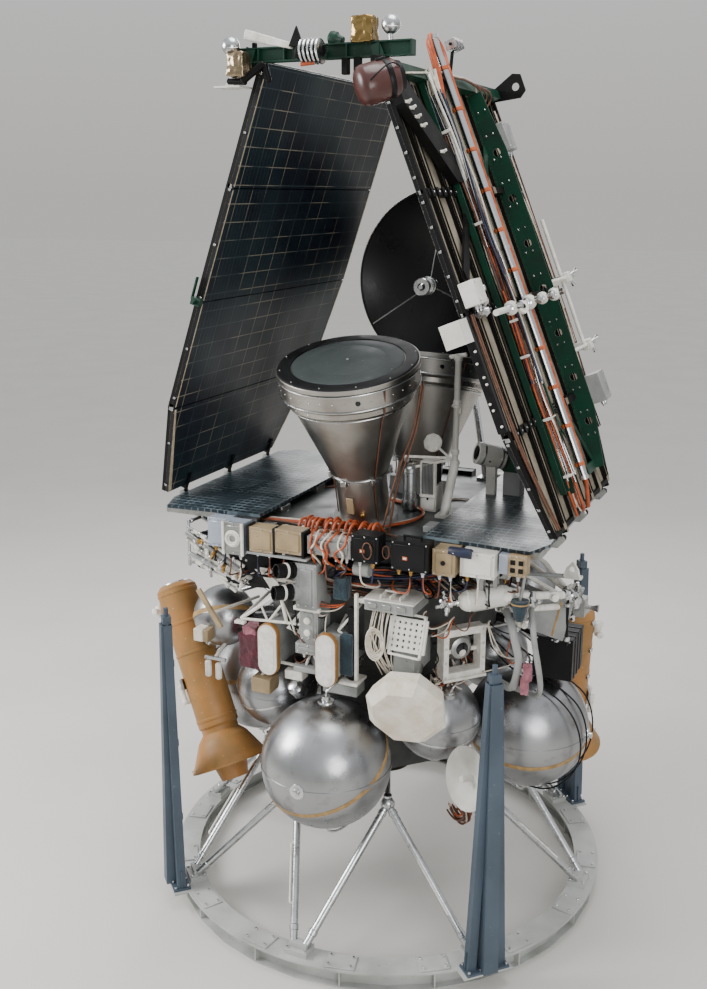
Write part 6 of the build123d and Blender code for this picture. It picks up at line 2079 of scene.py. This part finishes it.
class PROBE_OT_bus_wiring(bpy.types.Operator):
    """Looms of white, orange, black, brown and blue wire round the ring, boxes and deck edge"""

    bl_idname = "probe.bus_wiring"
    bl_label = "Ring wiring"

    def execute(self, context):
        luck = random.Random(77)
        # Rings of cable under the boxes, all the way round the hull
        for finish, count, radius, low, high in (
            ("wire_black", 12, 0.015, 2.98, 3.22),
            ("wire_orange", 4, 0.009, 3.06, 3.18),
            ("wire_white", 2, 0.007, 2.99, 3.16),
            ("wire_blue", 6, 0.012, 3.0, 3.2),
            ("wire_brown", 7, 0.009, 2.95, 3.14),
        ):
            runs = []
            for _ in range(count):
                start = luck.uniform(-175, -80)
                run = []
                height = luck.uniform(low, high)
                for k in range(13):
                    azimuth = start + 10 * k
                    # The looms lie on the hull, and bulge over the sensor column's flanks
                    reach = 1.05 + luck.uniform(0, 0.05)
                    height += luck.uniform(-0.03, 0.03)
                    height = min(max(height, low), high)
                    run.append(polar(reach, azimuth, height))
                runs.append(run)
            wires(f"ring_loom_{finish}", "craft", finish, radius, runs)

        # Drops from each box's plugs down to the looms
        for finish, share in (
            ("wire_white", 0.2), ("wire_orange", 0.25), ("wire_brown", 0.35), ("wire_black", 0.6),
            ("wire_blue", 0.4),
        ):
            runs = []
            for x0, x1, y, low, *_ in FRONT_BOXES + REAR_BOXES:
                sign = -1 if y < 0 else 1
                count = max(1, int((x1 - x0) / PLUG_PITCH))
                for k in range(count):
                    if luck.random() > share:
                        continue
                    x = x0 + (k + 0.5) / count * (x1 - x0)
                    plug = Vector((x, y - sign * 0.035, low - 0.05))
                    sag = luck.uniform(0.06, 0.16)
                    side = luck.uniform(-0.14, 0.14)
                    reach = polar(1.06, math.degrees(math.atan2(y, x + side)), 3.1)
                    runs.append([
                        plug, plug + Vector((0, sign * 0.01, -sag)),
                        plug + Vector((side * 0.5, sign * luck.uniform(0, 0.03), -sag * 1.3)),
                        (plug + reach) / 2 + Vector((side, 0, -0.1)), reach,
                    ])
            for azimuth, half, low, _, depth, _ in RING_BOXES:
                for k in (-0.5, 0.0, 0.5):
                    if luck.random() > share:
                        continue
                    away = math.degrees(k * half / 1.1)
                    plug = polar(HULL_RADIUS + depth - 0.035, azimuth + away, low - 0.05)
                    end = polar(1.03, azimuth + away + luck.uniform(-9, 9), low - luck.uniform(0.1, 0.22))
                    runs.append([
                        plug, plug + Vector((0, 0, -0.06)), (plug + end) / 2 + Vector((0, 0, -0.09)), end,
                    ])
            wires(f"box_drops_{finish}", "craft", finish, 0.007, runs)

        # Cables over the front of the middle boxes and the deck's edge
        front = []
        for x in (-0.14, -0.1, -0.05, 0.0, 0.05, 0.1, 0.15):
            top = Vector((x, -1.08 + luck.uniform(-0.02, 0.02), 3.445))
            front.append([
                top, top + Vector((0, -0.08, 0.06)), Vector((x + 0.02, -1.27, 3.5)),
                Vector((x + luck.uniform(-0.06, 0.06), -1.3, 3.42)),
                Vector((x + luck.uniform(-0.1, 0.1), -1.305, 3.36)),
                Vector((x + luck.uniform(-0.08, 0.08), -1.27, 3.27)), Vector((x, -1.16, 3.2)),
            ])
        wires("front_cables_orange", "craft", "wire_orange", 0.009, front[::2])
        wires("front_cables_white", "craft", "wire_white", 0.008, front[1::2])
        loops = []
        for x, y, z, size in ((0.49, -1.26, 3.42, 0.05), (0.36, -1.318, 3.43, 0.065)):
            turns = []
            for k in range(15):
                angle = math.radians(30 * k + luck.uniform(-8, 8))
                turns.append(Vector((
                    x + size * 0.6 * math.cos(angle), y - 0.001 * k, z + size * math.sin(angle),
                )))
            turns.append(Vector((x + 0.03, y + 0.06, z - 0.09)))
            loops.append(turns)
        wires("front_wire_loops", "craft", "wire_brown", 0.005, loops)

        # Orange plugs and cable heaps on the deck at the front capsule's foot, with the long orange run
        heap = []
        for k in range(17):
            x = -0.34 + 0.038 * k + luck.uniform(-0.01, 0.01)
            y = -0.985 + luck.uniform(-0.05, 0.03)
            heap.append([
                (x, y - 0.05, 3.435),
                (x, y - 0.045, 3.5),
                (x + 0.02, y, 3.53 + luck.uniform(0, 0.03)),
                (x + 0.03, y + 0.06, 3.5),
                (x + 0.05, y + 0.09, ON_DECK),
            ])
        wires("deck_cable_heap", "craft", "wire_orange", 0.013, heap)
        runs = []
        for k in range(4):
            shift = 0.022 * k
            runs.append([
                (-0.7, -0.93 + shift, ON_DECK), (-0.4, -0.9 + shift, 3.45), (-0.05, -0.9 + shift, 3.448),
                (0.22, -0.8 + shift, 3.45), (0.4, -0.55 + shift, 3.448), (0.44, -0.3 + shift, 3.448),
                (0.3 - shift, -0.05, 3.448), (0.0, 0.02 + shift, 3.448),
            ])
        wires("deck_runs_orange", "craft", "wire_orange", 0.011, runs[:2])
        wires("deck_runs_white", "craft", "wire_white", 0.009, runs[2:])

        # Coil of pale cable beside the plate with holes
        coil = []
        for turn in range(5):
            ring = []
            size = 0.066 + 0.011 * turn
            for k in range(14):
                angle = math.radians(360 / 12 * k + 25 * turn)
                wobble = luck.uniform(-0.006, 0.006)
                ring.append(Vector((
                    0.405 + (size * 0.72 + wobble) * math.cos(angle), -1.25 - 0.006 * turn + wobble,
                    2.67 + (size * 1.25 + wobble) * math.sin(angle),
                )))
            coil.append(ring)
        coil[0] = [(0.44, -1.19, 2.93), (0.45, -1.24, 2.86)] + coil[0]
        coil[-1] += [(0.46, -1.22, 2.5), (0.5, -1.15, 2.42), (0.56, -1.1, 2.4)]
        wires("cable_coil", "craft", "wire_white", 0.006, coil)
        strands = []
        for k in range(9):
            x = 0.34 + 0.02 * k
            strands.append([
                (x, -1.12, 2.93),
                (x + luck.uniform(-0.03, 0.03), -1.2, 2.8),
                (x + luck.uniform(-0.03, 0.05), -1.23, 2.62),
                (x + luck.uniform(0, 0.08), -1.2, 2.46),
                (x + luck.uniform(0.03, 0.14), -1.13, 2.36),
            ])
        wires("tray_strands", "craft", "wire_white", 0.0055, strands)

        # Wires between the column, triangles, ovals and tanks
        mixed = {"wire_white": [], "wire_brown": [], "wire_orange": [], "wire_black": []}
        anchors = [
            Vector((-0.33, -1.17, 2.92)), Vector((-0.46, -1.15, 2.83)), Vector((-0.3, -1.2, 2.62)),
            Vector((-0.62, -1.1, 2.7)), Vector((-0.05, -1.2, 2.8)), Vector((0.1, -1.2, 2.92)),
            Vector((-0.08, -1.22, 2.58)), Vector((0.12, -1.18, 2.45)), Vector((-0.4, -1.1, 2.35)),
            Vector((0.95, -1.05, 2.88)), Vector((1.1, -1.0, 2.92)), Vector((1.2, -0.92, 2.84)),
            Vector((0.8, -1.08, 2.74)), Vector((0.8, -1.02, 2.44)), Vector((0.92, -0.86, 2.26)),
            Vector((1.34, -0.66, 2.46)), Vector((1.36, -0.62, 2.7)), Vector((0.75, -1.12, 2.92)),
        ]
        for k in range(32):
            start = luck.choice(anchors)
            near = sorted(anchors, key=lambda a: (a - start).length)[1:4]
            end = luck.choice(near)
            middle = (start + end) / 2 + Vector((
                luck.uniform(-0.08, 0.08), luck.uniform(-0.06, 0.02), luck.uniform(-0.14, 0.02),
            ))
            first = start + Vector((
                luck.uniform(-0.03, 0.03), luck.uniform(-0.05, 0), luck.uniform(-0.05, 0.03),
            ))
            last = end + Vector((
                luck.uniform(-0.03, 0.03), luck.uniform(-0.05, 0), luck.uniform(-0.03, 0.05),
            ))
            finish = luck.choice((
                "wire_white", "wire_brown", "wire_white", "wire_brown", "wire_black", "wire_black",
            ))
            if k % 9 == 0:
                finish = "wire_orange"
            mixed[finish].append([
                start + Vector((0, 0.05, 0)), first, middle, last, end + Vector((0, 0.05, 0)),
            ])
        # Short tangles under the square frame, orange and white
        for k in range(22):
            azimuth = luck.uniform(-52, -32)
            middle = luck.uniform(2.22, 2.38)
            run = [
                polar(
                    1.22 + 0.05 * luck.random(), azimuth + luck.uniform(-4, 4),
                    middle + luck.uniform(-0.07, 0.07),
                )
                for _ in range(4)
            ]
            run = [polar(1.13, azimuth, middle + 0.08)] + run + [polar(1.13, azimuth + 2, middle - 0.04)]
            mixed["wire_orange" if k % 3 == 0 else "wire_white"].append(run)
        for finish, runs in mixed.items():
            wires(f"front_strands_{finish}", "craft", finish, 0.0055, runs)

        # Bundle behind the small low dish, down from the right front of the core
        bundle = {"wire_brown": [], "wire_orange": [], "wire_white": []}
        for k in range(14):
            finish = ("wire_brown", "wire_orange", "wire_white", "wire_brown")[k % 4]
            spine = [
                (1.02, -0.95, 1.62), (1.1, -1.05, 1.5), (1.08, -1.08, 1.38), (1.12, -1.06, 1.28),
                (1.1, -1.04, 1.2), (1.02, -1.0, 1.16), (0.94, -0.92, 1.22),
            ]
            bundle[finish] += loom(spine, 1, 0.035, luck)
        for finish, runs in bundle.items():
            wires(f"low_bundle_{finish}", "craft", finish, 0.008, runs)
        return {"FINISHED"}


def ball(at, radius, finish, rings=20):
    """A closed round shell."""
    deselect()
    bpy.ops.mesh.primitive_uv_sphere_add(segments=2 * rings, ring_count=rings, radius=radius, location=at)
    bpy.ops.object.transform_apply()
    return coat(bpy.context.object, finish)


def cut_plate(corners, thick):
    """A flat plate with these corners in X and Y, from z = 0 to z = thick."""
    deselect()
    bpy.ops.mesh.primitive_circle_add(vertices=len(corners), radius=1, fill_type="NGON")
    piece = bpy.context.object
    for vertex, (x, y) in zip(piece.data.vertices, corners):
        vertex.co = (x, y, 0)
    bpy.ops.object.mode_set(mode="EDIT")
    bpy.ops.mesh.select_all(action="SELECT")
    bpy.ops.mesh.extrude_region_move(TRANSFORM_OT_translate={"value": (0, 0, thick)})
    bpy.ops.mesh.select_all(action="SELECT")
    bpy.ops.mesh.normals_make_consistent(inside=False)
    bpy.ops.object.mode_set(mode="OBJECT")
    return piece


def holed(piece, tool):
    """Cut a tool's shape out of a piece and remove the tool."""
    cut = piece.modifiers.new("hole", "BOOLEAN")
    cut.object = tool
    cut.operation = "DIFFERENCE"
    pick(piece)
    bpy.ops.object.modifier_apply(modifier=cut.name)
    pick(tool)
    bpy.ops.object.delete()
    return piece


class PROBE_OT_head_gear(bpy.types.Operator):
    """Sensor pot, silver balls, plank, valve stack and black plates at the tops of the wings"""

    bl_idname = "probe.head_gear"
    bl_label = "Head gear"

    def execute(self, context):
        luck = random.Random(91)
        # The pot is a blunt drum with a domed face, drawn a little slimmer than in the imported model
        place = facing((0.487, -1.47, 6.712), (-0.75, -0.6, -0.28))
        pot = [
            turned((
                (0.06, -0.146), (0.105, -0.138), (0.124, -0.112), (0.126, -0.02), (0.132, -0.012),
                (0.132, 0.09), (0.126, 0.112), (0.104, 0.134), (0.06, 0.148), (0.012, 0.152),
            ), 40, "pot_brown"),
            turned((
                (0.1265, -0.09), (0.1285, -0.086), (0.1285, -0.056), (0.1265, -0.052),
            ), 40, "wire_black"),
            turned(((0.07, -0.176), (0.092, -0.17), (0.1, -0.15), (0.108, -0.132)), 32, "black_paint"),
            bar((-0.02, 0.124, -0.09), (0.02, 0.142, -0.02), 0.004, "wire_black"),
        ]
        move_all(pot, place)
        pot += [
            rod((0.52, -1.4, 6.74), (0.4, -1.228, 6.85), 0.03, 20, "frame_black"),
            bar((0.36, -1.3, 6.8), (0.455, -1.228, 6.9), 0.006, "frame_black"),
        ]
        finished(pot, "sensor_drum", "right_wing", "pot_brown", "sensor_pot")
        runs = [[
            place @ Vector(p)
            for p in ((0.1, 0.05, -0.14), (0.14, 0.1, -0.1), (0.16, 0.06, 0.02), (0.13, 0.02, 0.08))
        ]]
        wires("pot_cable", "right_wing", "wire_black", 0.005, runs)

        # The foil boxes are thin foil wrapped round a frame, so their faces are dented and their edges soft
        for name, side, node, low, high, finish in (
            (
                "left_foil_packet", "left", "gold_box", (-0.7, -1.395, 6.79), (-0.56, -1.243, 6.966),
                "foil_pale",
            ),
            (
                "right_foil_packet", "right", "foil_box", (0.2, -1.285, 6.982), (0.37, -1.145, 7.16),
                "foil_gold",
            ),
        ):
            packet = pouch(low, high, luck, 0.011)
            finished([coat(packet, finish)], name, f"{side}_wing", "foil_gold", node)
        # Each ball is two spun halves with a seam band, on a short neck
        for side, at, foot in (
            ("left", (-0.69, -1.325, 7.005), (-0.66, -1.27, 6.96)),
            ("right", (0.475, -1.215, 7.095), (0.475, -1.215, 6.99)),
        ):
            band = turned(((0.063, -0.006), (0.0655, -0.004), (0.0655, 0.004), (0.063, 0.006)), 36)
            parts = [ball(at, 0.064, "strut_metal"), coat(aim(band, at, (0.2, -0.3, 1)), "steel")]
            parts.append(rod(at, foot, 0.018, 16, "steel"))
            finished(parts, f"{side}_silver_ball", f"{side}_wing", "alloy")

        # White plank, valve stack and knob in front of the tie beam
        parts = []
        plank = bar((-0.19, -0.052, -0.02), (0.19, 0.052, 0.02), 0.005)
        for vertex in plank.data.vertices:
            if vertex.co.x < 0 and vertex.co.z < 0:
                vertex.co.z -= 0.03
        plank.data.transform(to(-0.43, -1.215, 7.045) @ Matrix.Rotation(math.radians(16.5), 4, "Y"))
        parts.append(coat(plank, "clip_white"))
        for x in (-0.56, -0.33):
            parts.append(bar((x - 0.012, -1.235, 6.99), (x + 0.012, -1.195, 7.03), 0.003, "frame_black"))
        for k in range(5):
            parts.append(fitting((
                (0.06, 0), (0.082, 0.004), (0.086, 0.01), (0.082, 0.018), (0.06, 0.022),
            ), 28, (-0.115 + 0.031 * k, -1.352, 6.935), (1, 0, 0.08), "steel"))
        parts += [
            rod((-0.16, -1.352, 6.93), (0.045, -1.352, 6.945), 0.045, 20, "frame_black"),
            bar((-0.175, -1.36, 6.9), (-0.115, -1.2, 6.97), 0.006, "frame_black"),
            rod((-0.11, -1.4, 6.85), (-0.02, -1.37, 6.86), 0.012, 10, "wire_orange"),
            coat(cut_plate(((-0.06, 0), (0.05, 0), (0.0, 0.13)), 0.02), "frame_black"),
        ]
        parts[-1].data.transform(to(-0.2, -1.262, 6.985) @ Matrix.Rotation(math.pi / 2, 4, "X"))
        # Black brackets round the foil box
        for start, end, radius in (
            ((-0.6, -1.34, 6.765), (-0.44, -1.3, 6.885), 0.026),
            ((-0.44, -1.3, 6.885), (-0.42, -1.27, 6.76), 0.022),
            ((-0.73, -1.31, 6.775), (-0.58, -1.31, 6.765), 0.022),
        ):
            parts.append(rod(start, end, radius, 12, "frame_black"))
        finished(parts, "left_head_gear", "left_wing", "white_paint")

        parts = [
            fitting((
                (0.03, 0), (0.046, 0.012), (0.05, 0.03), (0.046, 0.06), (0.03, 0.075), (0.022, 0.11),
            ), 20, (0.02, -1.215, 7.035), (1, 0, -0.2), "girder_green"),
            bar((0.03, -1.25, 6.99), (0.12, -1.18, 7.02), 0.004, "girder_green"),
        ]
        for x, low, top in ((0.13, 6.79, 6.9), (0.22, 6.76, 6.9)):
            parts.append(bar((x, -1.262, low), (x + 0.05, -1.215, top), 0.005, "frame_black"))
        for k in range(6):
            parts.append(moved(
                bar((-0.004, -0.035, -0.045), (0.004, 0.035, 0.045), 0.001, "steel"),
                wing_place("right") @ to(3.8, 0.02 + 0.035 * k, 0.235) @ spun(90),
            ))
        mast = [
            rod((3.56, 0.11, 0.1), (3.8, 0.11, 0.22), 0.014, 10),
            rod((3.8, 0.0, 0.235), (3.8, 0.22, 0.235), 0.012, 10),
        ]
        coat_all(mast, "frame_black")
        parts += on_wing("right", mast)
        finished(parts, "right_head_gear", "right_wing", "girder_green")

        # Black cover plates with one round hole at the heads' back ends
        corners = ((3.513, 0.06), (3.597, 0.06), (3.668, 0.3), (3.637, 0.363), (3.493, 0.363), (3.452, 0.3))
        for side in ("left", "right"):
            plate = cut_plate(corners, 0.02)
            drill = rod((3.555, 0.29, -0.05), (3.555, 0.29, 0.07), 0.034, 28)
            plate = holed(plate, drill)
            # Stand the flat plate up: its Y becomes the way out of the wing, its Z the way back
            plate.data.transform(Matrix(((1, 0, 0, 0), (0, 0, 1, 1.327), (0, 1, 0, 0), (0, 0, 0, 1))))
            plate.data.flip_normals()
            coat(plate, "frame_black")
            finished(on_wing(side, [plate]), f"{side}_head_end_cover", f"{side}_wing", "girder_green")
            lines = [
                [
                    (3.4, 0.62 + 0.1 * k, 0.12),
                    (3.48, 0.7 + 0.1 * k, 0.18 + 0.02 * k),
                    (3.56, 0.5, 0.17),
                    (3.58, 0.2 + 0.05 * k, 0.17),
                    (3.56, -0.2, 0.16),
                    (3.5, -0.42, 0.15),
                ]
                for k in range(3)
            ]
            wires(
                f"{side}_head_wires", f"{side}_wing", "wire_brown", 0.008,
                wing_runs(side, lines),
            )
            pale = [[
                (3.44, 0.66, 0.1), (3.54, 0.6, 0.17), (3.6, 0.4, 0.16), (3.57, 0.1, 0.18), (3.6, -0.1, 0.15),
                (3.55, -0.6, 0.15), (3.52, -0.95, 0.14),
            ]]
            wires(
                f"{side}_head_wires_white", f"{side}_wing", "wire_white", 0.007,
                wing_runs(side, pale),
            )
        return {"FINISHED"}


class PROBE_OT_deck_gear(bpy.types.Operator):
    """Radiator, rods, cylinder, camera fittings and cables on the deck"""

    bl_idname = "probe.deck_gear"
    bl_label = "Deck gear"

    def execute(self, context):
        parts = [
            bar((0.348, -0.138, 3.585), (0.452, -0.119, 3.852), 0.003, "black_paint"),
            bar((0.334, -0.146, 3.575), (0.35, -0.1, 3.862), 0.003, "clip_white"),
            bar((0.45, -0.146, 3.575), (0.466, -0.1, 3.862), 0.003, "clip_white"),
            bar((0.334, -0.146, 3.85), (0.466, 0.034, 3.864), 0.003, "clip_white"),
            bar((0.33, -0.15, 3.555), (0.472, -0.1, 3.58), 0.003, "clip_white"),
            bar((0.338, -0.134, 3.445), (0.462, -0.118, 3.548), 0.004, "white_paint"),
            bar((0.392, -0.142, 3.53), (0.408, -0.118, 3.56), 0.002, "wire_black"),
        ]
        for k in range(8):
            x = 0.357 + 0.0125 * k
            parts.append(bar((x - 0.002, -0.16, 3.592), (x + 0.002, -0.136, 3.846), 0.0006, "grey_paint"))
        # The same ribs on the box's other sides
        for k in range(9):
            y = -0.085 + 0.0135 * k
            parts += [
                bar((0.449, y - 0.002, 3.66), (0.462, y + 0.002, 3.846), 0.0006, "black_paint"),
                bar((0.338, y - 0.002, 3.66), (0.351, y + 0.002, 3.846), 0.0006, "black_paint"),
            ]
        finished(parts, "deck_radiator", "craft", "white_paint")

        parts = []
        for start, end, radius in (
            ((0.19, -0.15, 3.89), (0.6, -0.11, 3.905), 0.012),
            ((0.19, -0.15, 3.778), (0.6, -0.11, 3.895), 0.012),
            ((0.555, -0.1, 4.735), (0.7, -0.1, 4.765), 0.018),
            ((0.655, -0.1, 4.28), (0.655, -0.1, 4.36), 0.016),
        ):
            parts.append(rod(start, end, radius, 12, "clip_white"))
        for share, radius, length in (
            (0.1, 0.034, 0.05), (0.53, 0.044, 0.022), (0.56, 0.032, 0.05), (0.96, 0.034, 0.04),
        ):
            parts.append(collar(
                (0.622, -0.1, 3.865), (0.63, -0.1, 4.765), share, radius, length, 20, "clip_white",
            ))
        parts += [
            moved(
                turned((
                    (0.064, 3.445), (0.068, 3.455), (0.068, 3.52), (0.06, 3.53), (0.06, 3.76),
                    (0.064, 3.765), (0.064, 3.8), (0.05, 3.815), (0.02, 3.82),
                ), 28, "strut_metal"),
                to(0.246, -0.15, 0),
            ),
            moved(
                turned((
                    (0.07, 0), (0.077, 0.004), (0.077, 0.014), (0.06, 0.02), (0.01, 0.024),
                ), 8, "clip_white"),
                facing((0.463, -0.21, 4.043), (-0.1, -0.9, 0.35)),
            ),
        ]
        finished(parts, "deck_rods", "craft", "white_paint")

        # Deck camera: end rings, sight and the box it stands on
        centre, way = Vector((0.8, 0.33, 3.85)), Vector((-0.8, -0.55, 0.25)).normalized()
        parts = []
        for along, finish, radius in (
            (-0.122, "lid_green", 0.099), (-0.08, "alloy", 0.0975), (0.08, "alloy", 0.0975),
        ):
            parts.append(fitting((
                (radius - 0.004, -0.01), (radius, -0.007), (radius, 0.007), (radius - 0.004, 0.01),
            ), 32, centre + way * along, way, finish))
        parts += [
            fitting(
                ((0.086, 0), (0.09, 0.004), (0.084, 0.01), (0.02, 0.014)), 32, centre - way * 0.13, -way,
                "tan_paint",
            ),
            fitting(
                ((0.06, 0), (0.062, 0.006), (0.05, 0.01), (0.01, 0.012)), 28, centre + way * 0.129, way,
                "lens_glass",
            ),
        ]
        for offset in ((0.0, -0.097, 0.03), (0.02, -0.092, -0.03)):
            parts.append(bolt(centre + Vector(offset), (0.2, -1, 0.1), 0.008, 0.008, "wire_black"))
        parts += [
            bar((0.9, 0.33, 3.72), (1.08, 0.52, 3.9), 0.008, "girder_green"),
            bar((0.905, 0.35, 3.43), (1.06, 0.5, 3.722), 0.006, "grey_paint"),
        ]
        finished(parts, "deck_camera_fittings", "craft", "white_paint")

        # Cables down the front capsule's right side, and clutter of lines over the open deck
        brown = [
            [
                (0.6, -0.86, 4.64), (0.57, -0.87, 4.35), (0.48, -0.885, 4.1), (0.4, -0.905, 3.85),
                (0.335, -0.905, 3.56), (0.3, -0.9, ON_DECK),
            ],
            [
                (0.602, -0.82, 4.64), (0.585, -0.85, 4.36), (0.505, -0.87, 4.08), (0.425, -0.89, 3.84),
                (0.37, -0.89, 3.56), (0.36, -0.88, ON_DECK),
            ],
        ]
        wires("capsule_cables", "craft", "wire_brown", 0.009, brown)
        luck = random.Random(12)
        for finish, count in (("wire_white", 5), ("wire_black", 6), ("wire_brown", 5)):
            runs = []
            for _ in range(count):
                y = luck.choice((-0.95, -0.99, -1.03)) + luck.uniform(-0.02, 0.02)
                x = luck.uniform(-0.95, 0.2)
                long = luck.uniform(0.25, 0.6)
                runs.append([
                    (x + long * s, y + luck.uniform(-0.02, 0.02), 3.438 + 0.012 * luck.random())
                    for s in (0, 0.25, 0.5, 0.75, 1.0)
                ])
                side = luck.choice((-1, 1))
                runs.append([
                    (side * (0.3 + 0.5 * s), 0.05 + 0.3 * math.sin(3 * s) + luck.uniform(-0.02, 0.02), 3.438)
                    for s in (0, 0.25, 0.5, 0.75, 1.0)
                ])
            wires(f"deck_lines_{finish}", "craft", finish, 0.008, runs)
        parts = []
        for x, y, wide, deep, tall, finish in (
            (-0.6, -1.06, 0.1, 0.06, 0.035, "alloy"),
            (-0.42, -1.08, 0.07, 0.05, 0.03, "grey_paint"),
            (-0.3, 0.0, 0.14, 0.1, 0.06, "black_paint"),
            (0.85, -0.02, 0.12, 0.1, 0.08, "grey_paint"),
            (-0.75, 0.1, 0.1, 0.16, 0.06, "alloy"),
            (-0.62, 0.42, 0.12, 0.12, 0.09, "white_paint"),
            (0.7, 0.85, 0.16, 0.1, 0.07, "tan_paint"),
            (-0.7, 0.95, 0.14, 0.1, 0.08, "grey_paint"),
            (0.62, -0.62, 0.1, 0.16, 0.05, "grey_paint"),
            (-0.74, -0.6, 0.1, 0.16, 0.05, "alloy"),
        ):
            parts.append(bar(
                (x - wide / 2, y - deep / 2, 3.428), (x + wide / 2, y + deep / 2, DECK_TOP + tall), 0.004,
                finish,
            ))
            for dx in (-1, 1):
                parts.append(moved(
                    coat(hex_bolt(0.007, 0.008), "steel"), to(x + dx * (wide / 2 + 0.012), y, DECK_TOP),
                ))
        finished(parts, "deck_small_boxes", "craft", "alloy")
        return {"FINISHED"}


class PROBE_PT_panel(bpy.types.Panel):
    """Steps that dress the probe, in order"""

    bl_idname = "PROBE_PT_panel"
    bl_label = "Probe"
    bl_space_type = "VIEW_3D"
    bl_region_type = "UI"
    bl_category = "Probe"

    def draw(self, context):
        column = self.layout.column()
        for step in STEPS:
            column.operator(step.bl_idname)
        for group in ("probe_stage", "probe_sizes", "probe_paints"):
            settings = getattr(context.scene, group)
            for name in settings.__annotations__:
                column.prop(settings, name)


SETTINGS = (StageSettings, SizeSettings, PaintSettings)
STEPS = (
    PROBE_OT_stage, PROBE_OT_finishes, PROBE_OT_stand_fittings, PROBE_OT_tank_fittings, PROBE_OT_capsules,
    PROBE_OT_dish, PROBE_OT_probe_fittings, PROBE_OT_wing_edges, PROBE_OT_right_wing_gear,
    PROBE_OT_left_wing_gear, PROBE_OT_box_lids, PROBE_OT_front_instruments, PROBE_OT_side_gear,
    PROBE_OT_bus_wiring, PROBE_OT_head_gear, PROBE_OT_deck_gear,
)


def register():
    for item in SETTINGS + STEPS + (PROBE_PT_panel,):
        bpy.utils.register_class(item)
    bpy.types.Scene.probe_stage = PointerProperty(type=StageSettings)
    bpy.types.Scene.probe_sizes = PointerProperty(type=SizeSettings)
    bpy.types.Scene.probe_paints = PointerProperty(type=PaintSettings)


def unregister():
    for name in ("probe_stage", "probe_sizes", "probe_paints"):
        delattr(bpy.types.Scene, name)
    for item in reversed(SETTINGS + STEPS + (PROBE_PT_panel,)):
        bpy.utils.unregister_class(item)


def main():
    register()
    for step in STEPS:
        group, name = step.bl_idname.split(".")
        getattr(getattr(bpy.ops, group), name)()


if __name__ == "__main__":
    main()
